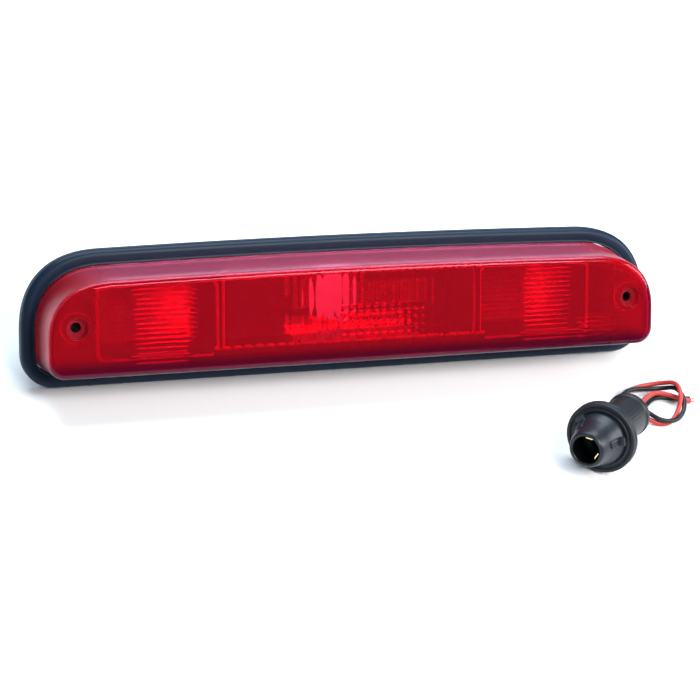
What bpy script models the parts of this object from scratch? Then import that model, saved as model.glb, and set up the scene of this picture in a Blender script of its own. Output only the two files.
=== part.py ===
"""Third brake light: lens, housing, reflectors and seals, with its loose twist-lock bulb socket.

The lamp is drawn upright in its own frame (X along its length, -Y towards the viewer, +Z up, and the
front plane of its gasket at y = 0). It then leans back until its housing touches the ground. The socket
is drawn along its own axis, which is +Z towards its mouth, and then lies down on its flange and boot.
"""

import math

import bmesh
import bpy
from mathutils import Matrix, Vector

MM = 0.001
GAP = 0.3 * MM  # clearance between pieces that touch
CUT_PAST = 1 * MM  # how far a cutter runs past what it cuts

# Lamp outline
LAMP_LENGTH = 380 * MM
LAMP_HEIGHT = 79 * MM
UPPER_CORNER_X = 50 * MM
UPPER_CORNER_Z = 48 * MM
CORNER_FULLNESS = 2.5  # 2 is a plain ellipse, and more is squarer
LOWER_CORNER = 19 * MM
TOP_CROWN = 1.5 * MM

# Gasket round the lamp
GASKET_FACE = 8.5 * MM  # width of its face along the top and bottom
GASKET_END_FACE = 7.4 * MM
GASKET_DEPTH = 8 * MM
GASKET_ROUND = 3.4 * MM

# Lens
LENS_PROUD = 34 * MM
LENS_WALL = 2.5 * MM
LENS_FOOT = 1.8 * MM  # how far the wall reaches behind the gasket's front plane
LENS_TOP_DRAFT = 3.3 * MM
LENS_LOW_DRAFT = 1.9 * MM
LENS_END_DRAFT = 1.4 * MM
LENS_EDGE = 3.2 * MM

# Screw wells and bosses
SCREW_FROM_END = 25.4 * MM
SCREW_HOLE = 2.9 * MM
WELL_RADIUS = 5.8 * MM
WELL_DEPTH = 4.5 * MM
WELL_WALL = 2.5 * MM
BOSS_RADIUS = 8 * MM
BOSS_BORE = 3 * MM
WELL_SEAL_THICK = 1.2 * MM
WELL_SEAL_BORE = 3.5 * MM
WELL_SEAL_RADIUS = 7.6 * MM

# Housing
RIM_FRONT = 4.3 * MM
TUB_DEPTH = 30 * MM  # behind the gasket's rear face
TUB_INSET = 14 * MM
TUB_DRAFT = 1 * MM
TUB_ROUND = 1.5 * MM
HOUSING_WALL = 2.2 * MM
LIP_WALL = 1.6 * MM
LIP_FRONT = 0.6 * MM
SEALANT_WIDTH = 1.4 * MM

# Reflectors
REFLECTOR_WALL = 1.8 * MM
REFLECTOR_FRONT = -7 * MM
REFLECTOR_BACK = 30 * MM
REFLECTOR_TAPER = 6 * MM  # how far its top and bottom slope in towards the floor
REFLECTOR_CORNER = 5 * MM
CENTRE_SHARE = 77 / 190  # of the lamp's length
CENTRE_TAPER = 9 * MM
CENTRE_TOP_CLEAR = 0.1 * MM  # below the tub's inner wall
REFLECTOR_LOW_LAP = 1.7 * MM  # past the tub's inner wall, in front of the tub
SIDE_TOP_DROP = 3 * MM
SIDE_GAP = 1.5 * MM
SIDE_FROM_SCREW = 15.1 * MM
SIDE_TAPER = 8 * MM
BULB_HOLE = 14.5 * MM
POST_RADIUS = 2.5 * MM
CENTRE_POST_X = 45 * MM
SIDE_POST_SPREAD = 20 * MM
STRIP_HEIGHT = 6 * MM
STRIP_THICK = 2.4 * MM
STRIP_LAP = 5 * MM  # past each end of the centre reflector
STRIP_EDGE = 0.6 * MM

# Vent in the rear wall
VENT_X = 110 * MM
VENT_Z = 8 * MM
VENT_STEM = 2.6 * MM
VENT_CAP = 5 * MM
VENT_CAP_THICK = 2.2 * MM
VENT_REACH = 1 * MM  # inside the rear wall

# Bulb socket
MOUTH_RADIUS = 8 * MM
MOUTH_WALL = 1.75 * MM
NOSE_LENGTH = 20 * MM
NOSE_EDGE = 1.2 * MM
CONE_RADIUS = 15.4 * MM
CONE_FOOT = 1.8 * MM  # height of its straight foot
WAIST = 5 * MM  # height of the cone's two bends, from its foot and from its mouth
WAIST_OUT = 1.8 * MM
WAIST_IN = 1.4 * MM
FLANGE_RADIUS = 20.7 * MM
FLANGE_THICK = 3.1 * MM
FLANGE_EDGE = 0.5 * MM
SEAL_THICK = 2.6 * MM
SEAL_EDGE = 0.8 * MM
SEAL_GROOVE = 0.6 * MM
SEAL_GROOVE_SHARE = 0.86  # of the flange's radius
NECK_RADIUS = 10.5 * MM
NECK_FILLET = 1 * MM
NECK_END = 31 * MM
BORE_DEPTH = 8 * MM
WIRE_BORE = 6.8 * MM
BOOT_WALL = 2.3 * MM
BOOT_START = 12 * MM
BOOT_END = 45.5 * MM
BOOT_LIP = 0.8 * MM
BOOT_TAPER = 0.2 * MM
BOOT_ROUND = (3.2 * MM, 4 * MM)  # of its rear edge, inwards and forwards
WIRE_HOLE = 3.4 * MM
LUG_COUNT = 3
LUG_WIDTH = 5 * MM
LUG_REACH = 1.9 * MM
LUG_ROOT = 2.6 * MM
LUG_THICK = 3 * MM
LUG_PLAY = 1 * MM
LUG_ANGLE = math.radians(147)
CARRIER_TOP = 6 * MM
WEDGE_SLOT = (2.6 * MM, 9 * MM, 4 * MM)
WEDGE_SHIFT = 1.5 * MM
CONTACT_WIDTH = 4 * MM
CONTACT_THICK = 0.5 * MM
CONTACT_RADIUS = 6.0 * MM
CONTACT_TIP = 17.4 * MM
CONTACT_BOW = (1.5 * MM, 6 * MM)  # how far it bends inwards, and how high above the carrier
CONTACT_FLARE = 0.3 * MM
CONTACT_ANGLES = (math.radians(100), math.radians(-15))
CRIMP_FRONT = 10.5 * MM
CRIMP_REAR = 16 * MM
CRIMP_HALF = 1.3 * MM
CRIMP_RADIUS = 4.8 * MM

# Wires
WIRE_RADIUS = 1.4 * MM
PAIR_HALF = 1.55 * MM  # half the distance between the two wires' centres
PAIR_TWISTS = 2.25
PAIR_PHASE = math.radians(80)
WIRE_POINTS = 56
WIRE_SPAN_STEPS = 12
WIRE_STRAIGHT = 3 * MM  # behind each crimp
WIRE_BEVEL = 2
CONDUCTOR_RADIUS = 0.7 * MM
CONDUCTOR_LENGTH = 3 * MM
CONDUCTOR_SIDES = 10

# Where the pieces lie on the ground
LAMP_REAR_Y = 89.3 * MM
SOCKET_HEADING = math.radians(48.5)  # of its mouth, from -Y towards -X
EXIT_X = 153 * MM
EXIT_Y = -39.3 * MM
# The middle of the twisted pair after it leaves the boot, chosen by hand
PAIR_ROUTE = (
    (0.1576, -0.0353, 0.0113),
    (0.1626, -0.0331, 0.0080),
    (0.1682, -0.0347, 0.0048),
    (0.1735, -0.0383, 0.0033),
    (0.1795, -0.0396, 0.0031),
    (0.1856, -0.0370, 0.0034),
    (0.1903, -0.0320, 0.0056),
    (0.1929, -0.0259, 0.0087),
    (0.1936, -0.0194, 0.0097),
    (0.1926, -0.0132, 0.0083),
    (0.1886, -0.0090, 0.0051),
    (0.1825, -0.0072, 0.0033),
    (0.1755, -0.0073, 0.0031),
    (0.1685, -0.0086, 0.0031),
    (0.1622, -0.0120, 0.0031),
    (0.1586, -0.0174, 0.0031),
    (0.1596, -0.0230, 0.0031),
    (0.1650, -0.0250, 0.0031),
    (0.1706, -0.0222, 0.0031),
    (0.1760, -0.0177, 0.0031),
    (0.1824, -0.0153, 0.0031),
    (0.1890, -0.0167, 0.0031),
    (0.1953, -0.0194, 0.0031),
    (0.2015, -0.0214, 0.0031),
)

# Facets
ARC_STEPS = 7
FOOT_STEPS = 5
CROWN_STEPS = 8
ROUND_STEPS = 3
TURN_STEPS = 32
HOLE_SIDES = 24

GASKET_INSETS = (GASKET_END_FACE, GASKET_FACE, GASKET_FACE)
LENS_INSETS = tuple(inset + GAP for inset in GASKET_INSETS)
TUB_REAR = GASKET_DEPTH + TUB_DEPTH
SCREW_X = LAMP_LENGTH / 2 - SCREW_FROM_END
WELL_FLOOR = -LENS_PROUD + WELL_DEPTH
WELL_FOOT = WELL_FLOOR + WELL_WALL
BOSS_FRONT = WELL_FOOT + GAP + WELL_SEAL_THICK + GAP
TUB_INNER_HALF = LAMP_HEIGHT / 2 - TUB_INSET - HOUSING_WALL
CENTRE_HALF_FRONT = CENTRE_SHARE * LAMP_LENGTH / 2
CENTRE_HALF_BACK = CENTRE_HALF_FRONT - CENTRE_TAPER
CENTRE_TOP = TUB_INNER_HALF - CENTRE_TOP_CLEAR
SIDE_TOP = CENTRE_TOP - SIDE_TOP_DROP
REFLECTOR_LOW = TUB_INNER_HALF + REFLECTOR_LOW_LAP
SIDE_HALF_FRONT = (SCREW_X - SIDE_FROM_SCREW - CENTRE_HALF_FRONT - SIDE_GAP) / 2
SIDE_HALF_BACK = SIDE_HALF_FRONT - SIDE_TAPER
STRIP_HALF = CENTRE_HALF_FRONT + STRIP_LAP
NOSE_RIM = MOUTH_RADIUS + MOUTH_WALL
BOOT_RADIUS = NECK_RADIUS + GAP + BOOT_WALL
SOCKET_PITCH = math.asin((FLANGE_RADIUS - BOOT_RADIUS) / (BOOT_END - SEAL_THICK - FLANGE_THICK))


# Helpers


def collection_named(name):
    collection = bpy.data.collections.new(name)
    bpy.context.scene.collection.children.link(collection)
    return collection


def material(name, colour, roughness, metallic=0.0):
    made = bpy.data.materials.new(name)
    made.use_nodes = True
    shader = made.node_tree.nodes["Principled BSDF"]
    shader.inputs["Base Color"].default_value = (*colour, 1.0)
    shader.inputs["Roughness"].default_value = roughness
    shader.inputs["Metallic"].default_value = metallic
    made.diffuse_color = (*colour, 1.0)
    return made


def add_object(name, data, collection, parent, finish=None):
    made = bpy.data.objects.new(name, data)
    collection.objects.link(made)
    made.parent = parent
    if finish is not None:
        data.materials.append(finish)
    return made


def mesh_from(bm, name):
    """Turns a bmesh into a mesh with its faces pointing out."""
    bmesh.ops.recalc_face_normals(bm, faces=bm.faces)
    mesh = bpy.data.meshes.new(name)
    bm.to_mesh(mesh)
    bm.free()
    return mesh


def smooth(mesh):
    mesh.shade_smooth()
    mesh.set_sharp_from_angle(angle=math.radians(35))


def cutter(name, bm, parent):
    """A tool for a Boolean, shown as wires and never rendered."""
    made = add_object(name, mesh_from(bm, name), CUTTERS, parent)
    made.hide_render = True
    made.display_type = "WIRE"
    return made


def combine(target, tool, operation):
    step = target.modifiers.new(tool.name, "BOOLEAN")
    step.operation = operation
    step.solver = "EXACT"
    step.object = tool


def outline(end_in, top_in, low_in):
    """The lamp's outline drawn in from its edge, as (x, z) points from the upper right, anticlockwise."""
    half = LAMP_LENGTH / 2 - end_in
    top = LAMP_HEIGHT / 2 - top_in
    low = -LAMP_HEIGHT / 2 + low_in
    corner_x = UPPER_CORNER_X - end_in
    corner_z = UPPER_CORNER_Z - top_in
    foot = max(LOWER_CORNER - min(end_in, low_in), 1 * MM)
    shoulder = half - corner_x
    right = []
    for step in range(FOOT_STEPS + 1):
        angle = math.pi / 2 * (step / FOOT_STEPS - 1)
        right.append((half - foot + foot * math.cos(angle), low + foot + foot * math.sin(angle)))
    for step in range(ARC_STEPS + 1):
        angle = math.pi / 2 * step / ARC_STEPS
        across = math.cos(angle) ** (2 / CORNER_FULLNESS)
        rise = math.sin(angle) ** (2 / CORNER_FULLNESS)
        right.append((shoulder + corner_x * across, top - TOP_CROWN + corner_z * (rise - 1)))
    crown = []
    for step in range(1, CROWN_STEPS):
        x = shoulder * (1 - 2 * step / CROWN_STEPS)
        drop = TOP_CROWN * (x / shoulder) ** 2
        crown.append((x, top - drop))
    left = [(-x, z) for x, z in reversed(right)]
    return right + crown + left


def ring(y, insets):
    return [(x, y, z) for x, z in outline(*insets)]


def widened(insets, by):
    return tuple(inset + by for inset in insets)


def bridge(bm, first, second):
    count = len(first)
    for index in range(count):
        following = (index + 1) % count
        bm.faces.new((first[index], first[following], second[following], second[index]))


def loft_mesh(name, rings, closed):
    """Joins rings of equal length. The ends are capped, or the last ring joins the first when closed."""
    bm = bmesh.new()
    rows = [[bm.verts.new(point) for point in points] for points in rings]
    for first, second in zip(rows, rows[1:]):
        bridge(bm, first, second)
    if closed:
        bridge(bm, rows[-1], rows[0])
    else:
        bm.faces.new(rows[0])
        bm.faces.new(rows[-1])
    return mesh_from(bm, name)


def round_bar(radius, length, place, sides=HOLE_SIDES):
    """A cylinder along its own Z, centred on place."""
    bm = bmesh.new()
    ends = {"radius1": radius, "radius2": radius, "depth": length}
    bmesh.ops.create_cone(bm, cap_ends=True, segments=sides, matrix=place, **ends)
    return bm


def cylinder_bm(radius, low, high, centre=(0.0, 0.0), sides=HOLE_SIDES):
    """A cylinder along the lamp's Y, centred at (x, z)."""
    turn = Matrix.Rotation(math.radians(90), 4, "X")
    place = Matrix.Translation((centre[0], (low + high) / 2, centre[1])) @ turn
    return round_bar(radius, high - low, place, sides)


def box_bm(size, place):
    bm = bmesh.new()
    bmesh.ops.create_cube(bm, size=1.0, matrix=place @ Matrix.Diagonal((*size, 1.0)))
    return bm


def turned(name, profile, finish, parent):
    """A body of revolution about +Z from a closed (radius, height) profile, outer side first."""
    mesh = bpy.data.meshes.new(name)
    points = [(radius, 0.0, height) for radius, height in profile]
    edges = [(index, (index + 1) % len(points)) for index in range(len(points))]
    mesh.from_pydata(points, edges, [])
    made = add_object(name, mesh, PARTS, parent, finish)
    screw = made.modifiers.new("turn", "SCREW")
    screw.axis = "Z"
    screw.angle = 2 * math.pi
    screw.steps = TURN_STEPS
    screw.render_steps = TURN_STEPS
    screw.use_merge_vertices = True
    screw.merge_threshold = 0.01 * MM
    screw.use_smooth_shade = False
    return made


# Lamp


def build_gasket(parent):
    """Rubber ring with a rounded front, which seals the lamp to the vehicle's panel."""
    rings = [ring(GASKET_DEPTH, (0, 0, 0))]
    for step in range(ROUND_STEPS + 1):
        angle = math.pi / 2 * step / ROUND_STEPS
        inset = GASKET_ROUND * (1 - math.cos(angle))
        rings.append(ring(GASKET_ROUND * (1 - math.sin(angle)), (inset,) * 3))
    rings.append(ring(0.0, GASKET_INSETS))
    rings.append(ring(GASKET_DEPTH, GASKET_INSETS))
    mesh = loft_mesh("body_gasket", rings, closed=True)
    smooth(mesh)
    rubber = material("gasket_rubber", (0.02, 0.025, 0.03), 0.55)
    return add_object("body_gasket", mesh, PARTS, parent, rubber)


def lens_insets(share, edge):
    """The lens's insets part of the way along its draft, and drawn in further over its front edge."""
    drafts = (LENS_END_DRAFT, LENS_TOP_DRAFT, LENS_LOW_DRAFT)
    return tuple(inset + share * draft + edge for inset, draft in zip(LENS_INSETS, drafts))


def build_lens(parent):
    """Deep red shell with a counterbored screw well at each end."""
    outer = [ring(LENS_FOOT, LENS_INSETS), ring(-LENS_PROUD + LENS_EDGE, lens_insets(1, 0))]
    for angle in (math.radians(45), math.radians(90)):
        drawn = LENS_EDGE * (1 - math.cos(angle))
        outer.append(ring(-LENS_PROUD + LENS_EDGE * (1 - math.sin(angle)), lens_insets(1, drawn)))
    inner = [
        ring(-LENS_PROUD + LENS_WALL, lens_insets(1, LENS_EDGE + 0.5 * LENS_WALL)),
        ring(-LENS_PROUD + LENS_EDGE, lens_insets(1, LENS_WALL)),
        ring(LENS_FOOT, widened(LENS_INSETS, LENS_WALL)),
    ]
    bm = bmesh.new()
    outer_rows = [[bm.verts.new(point) for point in points] for points in outer]
    inner_rows = [[bm.verts.new(point) for point in points] for points in inner]
    for rows in (outer_rows, inner_rows):
        for first, second in zip(rows, rows[1:]):
            bridge(bm, first, second)
    bridge(bm, inner_rows[-1], outer_rows[0])
    bm.faces.new(outer_rows[-1])
    bm.faces.new(inner_rows[0])
    mesh = mesh_from(bm, "lens")
    smooth(mesh)
    lens = add_object("lens", mesh, PARTS, parent, material("red_acrylic", (0.55, 0.0, 0.02), 0.08))
    for side, x in (("left", -SCREW_X), ("right", SCREW_X)):
        centre = (x, 0.0)
        front = -LENS_PROUD
        cup = cylinder_bm(WELL_RADIUS + WELL_WALL, front + GAP, WELL_FOOT, centre)
        combine(lens, cutter(f"{side}_well_cup", cup, parent), "UNION")
        well = cylinder_bm(WELL_RADIUS, front - CUT_PAST, WELL_FLOOR, centre)
        combine(lens, cutter(f"{side}_well", well, parent), "DIFFERENCE")
        hole = cylinder_bm(SCREW_HOLE, front - CUT_PAST, WELL_FOOT + CUT_PAST, centre)
        combine(lens, cutter(f"{side}_screw_hole", hole, parent), "DIFFERENCE")
    return lens


def build_sealant(parent):
    """Bead of sealant between the lens's foot and the housing's rim."""
    low = LENS_FOOT + GAP
    high = RIM_FRONT - GAP
    start = (LENS_WALL - SEALANT_WIDTH) / 2
    outer = widened(LENS_INSETS, start)
    inner = widened(LENS_INSETS, start + SEALANT_WIDTH)
    rings = [ring(high, outer), ring(low, outer), ring(low, inner), ring(high, inner)]
    mesh = loft_mesh("lens_sealant", rings, closed=True)
    return add_object("lens_sealant", mesh, PARTS, parent, material("sealant", (0.03, 0.03, 0.03), 0.7))


def housing_rings():
    """The housing's outer and inner rings, both from its front to its rear wall."""
    lip = widened(LENS_INSETS, LENS_WALL + GAP)
    lip_inner = widened(lip, LIP_WALL)
    tub = (TUB_INSET,) * 3
    drafted = widened(tub, TUB_DRAFT)
    outer = [
        ring(LIP_FRONT, lip),
        ring(RIM_FRONT, lip),
        ring(RIM_FRONT, LENS_INSETS),
        ring(GASKET_DEPTH, LENS_INSETS),
        ring(GASKET_DEPTH, tub),
        ring(TUB_REAR - TUB_ROUND, drafted),
        ring(TUB_REAR, widened(drafted, TUB_ROUND)),
    ]
    inner = [
        ring(LIP_FRONT, lip_inner),
        ring(RIM_FRONT - 1 * MM, lip_inner),
        ring(RIM_FRONT + HOUSING_WALL, widened(tub, HOUSING_WALL)),
        ring(TUB_REAR - HOUSING_WALL, widened(drafted, HOUSING_WALL)),
    ]
    return outer, inner


def post_places():
    side_middle = CENTRE_HALF_FRONT + SIDE_GAP + SIDE_HALF_FRONT
    spots = [CENTRE_POST_X, side_middle - SIDE_POST_SPREAD, side_middle + SIDE_POST_SPREAD]
    return [sign * x for x in spots for sign in (-1, 1)]


def lug_turn(index):
    return Matrix.Rotation(LUG_ANGLE + index * 2 * math.pi / LUG_COUNT, 4, "Z")


def build_housing(parent):
    """Black tub with a rim for the lens, screw bosses, posts, a vent hole and a keyed bulb port."""
    outer, inner = housing_rings()
    bm = bmesh.new()
    outer_rows = [[bm.verts.new(point) for point in points] for points in outer]
    inner_rows = [[bm.verts.new(point) for point in points] for points in inner]
    for rows in (outer_rows, inner_rows):
        for first, second in zip(rows, rows[1:]):
            bridge(bm, first, second)
    bridge(bm, inner_rows[0], outer_rows[0])
    bm.faces.new(outer_rows[-1])
    bm.faces.new(inner_rows[-1])
    mesh = mesh_from(bm, "housing")
    smooth(mesh)
    plastic = material("housing_plastic", (0.015, 0.015, 0.017), 0.5)
    housing = add_object("housing", mesh, PARTS, parent, plastic)
    inside = TUB_REAR - HOUSING_WALL / 2
    for side, x in (("left", -SCREW_X), ("right", SCREW_X)):
        boss = cylinder_bm(BOSS_RADIUS, BOSS_FRONT, inside, (x, 0.0))
        combine(housing, cutter(f"{side}_boss", boss, parent), "UNION")
        bore = cylinder_bm(BOSS_BORE, BOSS_FRONT - CUT_PAST, TUB_REAR + CUT_PAST, (x, 0.0))
        combine(housing, cutter(f"{side}_boss_bore", bore, parent), "DIFFERENCE")
    for index, x in enumerate(post_places()):
        post = cylinder_bm(POST_RADIUS, REFLECTOR_BACK + GAP, inside, (x, 0.0))
        combine(housing, cutter(f"post_{index}", post, parent), "UNION")
    ahead = TUB_REAR - 2 * HOUSING_WALL
    vent = cylinder_bm(VENT_STEM + GAP, ahead, TUB_REAR + CUT_PAST, (VENT_X, VENT_Z))
    combine(housing, cutter("vent_hole", vent, parent), "DIFFERENCE")
    port = cylinder_bm(CONE_RADIUS + GAP, ahead, TUB_REAR + CUT_PAST, sides=TURN_STEPS)
    combine(housing, cutter("bulb_port", port, parent), "DIFFERENCE")
    reach = CONE_RADIUS + LUG_REACH + GAP
    size = (reach / 2, LUG_WIDTH + 2 * GAP, 4 * HOUSING_WALL)
    to_lamp = Matrix.Translation((0, TUB_REAR, 0)) @ Matrix.Rotation(math.radians(90), 4, "X")
    for index in range(LUG_COUNT):
        place = to_lamp @ lug_turn(index) @ Matrix.Translation((reach - size[0] / 2, 0, 0))
        combine(housing, cutter(f"port_notch_{index}", box_bm(size, place), parent), "DIFFERENCE")
    return housing


def bowl_ring(y, centre_x, half_x, low, high, inset=0.0):
    """A rounded rectangle at depth y, drawn in by inset."""
    radius = REFLECTOR_CORNER
    reach = half_x - inset - radius
    bottom = low + inset + radius
    top = high - inset - radius
    points = []
    for quarter, (side, z) in enumerate(((1, bottom), (1, top), (-1, top), (-1, bottom))):
        for step in range(ROUND_STEPS + 1):
            angle = math.pi / 2 * (quarter - 1 + step / ROUND_STEPS)
            x = centre_x + side * reach + radius * math.cos(angle)
            points.append((x, y, z + radius * math.sin(angle)))
    return points


def build_bowl(name, centre, half_front, half_back, top, parent):
    """Open-fronted metallised bowl, narrower at its floor."""
    low = -REFLECTOR_LOW
    floor = (centre, half_back, low + REFLECTOR_TAPER, top - REFLECTOR_TAPER)
    mouth = (centre, half_front, low, top)
    wall = REFLECTOR_WALL
    rings = [
        bowl_ring(REFLECTOR_BACK, *floor),
        bowl_ring(REFLECTOR_FRONT, *mouth),
        bowl_ring(REFLECTOR_FRONT, *mouth, wall),
        bowl_ring(REFLECTOR_BACK - wall, *floor, wall),
    ]
    mesh = loft_mesh(name, rings, closed=False)
    mirror = material(f"{name}_metallised", (0.8, 0.8, 0.82), 0.15, 1.0)
    return add_object(name, mesh, PARTS, parent, mirror)


def build_reflectors(parent):
    """A bowl behind the middle of the lens, with a hole for the bulb, and one behind each end."""
    halves = (CENTRE_HALF_FRONT, CENTRE_HALF_BACK)
    centre = build_bowl("centre_reflector", 0, *halves, CENTRE_TOP, parent)
    ahead = REFLECTOR_BACK - 2 * REFLECTOR_WALL
    hole = cylinder_bm(BULB_HOLE, ahead, REFLECTOR_BACK + CUT_PAST, sides=TURN_STEPS)
    combine(centre, cutter("bulb_hole", hole, parent), "DIFFERENCE")
    middle = CENTRE_HALF_FRONT + SIDE_GAP + SIDE_HALF_FRONT
    for name, sign in (("left_reflector", -1), ("right_reflector", 1)):
        build_bowl(name, sign * middle, SIDE_HALF_FRONT, SIDE_HALF_BACK, SIDE_TOP, parent)


def build_bead_strip(parent):
    """Bar in front of the centre reflector's lower edge, which carries a row of beads."""
    high = REFLECTOR_FRONT - GAP
    centre = Vector((0, high - STRIP_THICK / 2, -REFLECTOR_LOW + STRIP_HEIGHT / 2))
    size = (2 * STRIP_HALF, STRIP_THICK, STRIP_HEIGHT)
    mesh = mesh_from(box_bm(size, Matrix.Translation(centre)), "bead_strip")
    strip = add_object("bead_strip", mesh, PARTS, parent, material("bead_plastic", (0.3, 0.0, 0.03), 0.2))
    edge = strip.modifiers.new("edge", "BEVEL")
    edge.width = STRIP_EDGE
    edge.segments = 2


def build_well_seals(parent):
    """Rubber washer between each screw well and its boss."""
    low = WELL_FOOT + GAP
    high = low + WELL_SEAL_THICK
    for side, x in (("left", -SCREW_X), ("right", SCREW_X)):
        name = f"{side}_well_seal"
        mesh = mesh_from(cylinder_bm(WELL_SEAL_RADIUS, low, high, (x, 0.0)), name)
        seal = add_object(name, mesh, PARTS, parent, material(f"{name}_rubber", (0.02, 0.02, 0.02), 0.7))
        bore = cylinder_bm(WELL_SEAL_BORE, low - CUT_PAST, high + CUT_PAST, (x, 0.0))
        combine(seal, cutter(f"{name}_bore", bore, parent), "DIFFERENCE")


def build_vent(parent):
    """Mushroom vent pushed through the rear wall, with a breathing hole down its stem."""
    inner_end = TUB_REAR - HOUSING_WALL - VENT_REACH
    outer_end = TUB_REAR + GAP + VENT_CAP_THICK
    centre = (VENT_X, VENT_Z)
    mesh = mesh_from(cylinder_bm(VENT_CAP, TUB_REAR + GAP, outer_end, centre), "vent_plug")
    plug = add_object("vent_plug", mesh, PARTS, parent, material("vent_rubber", (0.03, 0.03, 0.03), 0.6))
    stem = cylinder_bm(VENT_STEM, inner_end, TUB_REAR + VENT_CAP_THICK / 2, centre)
    combine(plug, cutter("vent_stem", stem, parent), "UNION")
    breath = cylinder_bm(VENT_STEM / 3, inner_end - CUT_PAST, outer_end + CUT_PAST, centre)
    combine(plug, cutter("vent_breath", breath, parent), "DIFFERENCE")


def lean_angle():
    """How far the lamp leans back before its housing meets the ground that its gasket stands on."""
    pivot = (GASKET_DEPTH, 0.0)
    meets = (
        (TUB_REAR - TUB_ROUND, TUB_INSET + TUB_DRAFT),
        (TUB_REAR, TUB_INSET + TUB_DRAFT + TUB_ROUND),
    )
    return min(math.atan2(height - pivot[1], depth - pivot[0]) for depth, height in meets)


def lamp_place():
    """Leans the lamp back, stands it on the ground and sets its rearmost housing edge at LAMP_REAR_Y."""
    lean = lean_angle()
    half = LAMP_HEIGHT / 2
    foot = GASKET_DEPTH * math.sin(lean) + half * math.cos(lean)
    top_z = half - TUB_INSET - TUB_DRAFT - TUB_ROUND
    rear = TUB_REAR * math.cos(lean) + top_z * math.sin(lean)
    return Matrix.Translation((0, LAMP_REAR_Y - rear, foot)) @ Matrix.Rotation(-lean, 4, "X")


# Socket


def build_socket_body(parent):
    """Rigid holder: nose cone with bayonet lugs, flange, neck and stepped bore."""
    flange_front = -SEAL_THICK - GAP
    flange_rear = -SEAL_THICK - FLANGE_THICK
    profile = [
        (NOSE_RIM, NOSE_LENGTH),
        (NOSE_RIM + NOSE_EDGE / 2, NOSE_LENGTH - NOSE_EDGE),
        (NOSE_RIM + WAIST_OUT, NOSE_LENGTH - WAIST),
        (CONE_RADIUS - WAIST_IN, WAIST),
        (CONE_RADIUS, CONE_FOOT),
        (CONE_RADIUS, flange_front),
        (FLANGE_RADIUS - FLANGE_EDGE, flange_front),
        (FLANGE_RADIUS, flange_front - FLANGE_EDGE),
        (FLANGE_RADIUS, flange_rear + FLANGE_EDGE),
        (FLANGE_RADIUS - FLANGE_EDGE, flange_rear),
        (NECK_RADIUS + NECK_FILLET, flange_rear),
        (NECK_RADIUS, flange_rear - NECK_FILLET),
        (NECK_RADIUS, -NECK_END),
        (WIRE_BORE, -NECK_END),
        (WIRE_BORE, -BORE_DEPTH),
        (MOUTH_RADIUS, -BORE_DEPTH),
        (MOUTH_RADIUS, NOSE_LENGTH),
    ]
    body = turned("socket_body", profile, material("socket_plastic", (0.03, 0.033, 0.04), 0.45), parent)
    low = HOUSING_WALL + LUG_PLAY
    inner = CONE_RADIUS - LUG_ROOT
    outer = CONE_RADIUS + LUG_REACH
    for index in range(LUG_COUNT):
        size = (outer - inner, LUG_WIDTH, LUG_THICK)
        place = lug_turn(index) @ Matrix.Translation(((outer + inner) / 2, 0, low + LUG_THICK / 2))
        combine(body, cutter(f"socket_lug_{index}", box_bm(size, place), parent), "UNION")


def build_socket_seal(parent):
    """Rubber ring in front of the flange, which seals the port."""
    inner = CONE_RADIUS + GAP
    groove = SEAL_GROOVE_SHARE * FLANGE_RADIUS
    profile = [
        (FLANGE_RADIUS - SEAL_EDGE, 0.0),
        (FLANGE_RADIUS, -SEAL_EDGE),
        (FLANGE_RADIUS, -SEAL_THICK),
        (inner, -SEAL_THICK),
        (inner, 0.0),
        (groove - SEAL_GROOVE, 0.0),
        (groove, -SEAL_GROOVE),
        (groove + SEAL_GROOVE, 0.0),
    ]
    turned("socket_seal", profile, material("seal_rubber", (0.02, 0.022, 0.028), 0.6), parent)


def contact_turn(angle):
    return Matrix.Rotation(angle, 4, "Z")


def build_carrier(parent):
    """Insert in the bore, with a slot for each contact and one for the bulb's wedge base."""
    low = -BORE_DEPTH + GAP
    depth = CARRIER_TOP - low
    place = Matrix.Translation((0, 0, (low + CARRIER_TOP) / 2))
    bm = round_bar(MOUTH_RADIUS - GAP, depth, place, TURN_STEPS)
    finish = material("carrier_plastic", (0.02, 0.02, 0.022), 0.6)
    carrier = add_object("contact_carrier", mesh_from(bm, "contact_carrier"), PARTS, parent, finish)
    for index, angle in enumerate(CONTACT_ANGLES):
        slot = (CONTACT_THICK + 2 * GAP, CONTACT_WIDTH + 2 * GAP, 2 * depth)
        place = contact_turn(angle) @ Matrix.Translation((CONTACT_RADIUS, 0, CARRIER_TOP - depth / 2))
        combine(carrier, cutter(f"carrier_slot_{index}", box_bm(slot, place), parent), "DIFFERENCE")
    wedge = (WEDGE_SLOT[0], WEDGE_SLOT[1], 2 * WEDGE_SLOT[2])
    turn = contact_turn(sum(CONTACT_ANGLES) / 2)
    place = turn @ Matrix.Translation((-WEDGE_SHIFT, 0, CARRIER_TOP))
    combine(carrier, cutter("wedge_slot", box_bm(wedge, place), parent), "DIFFERENCE")


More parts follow.
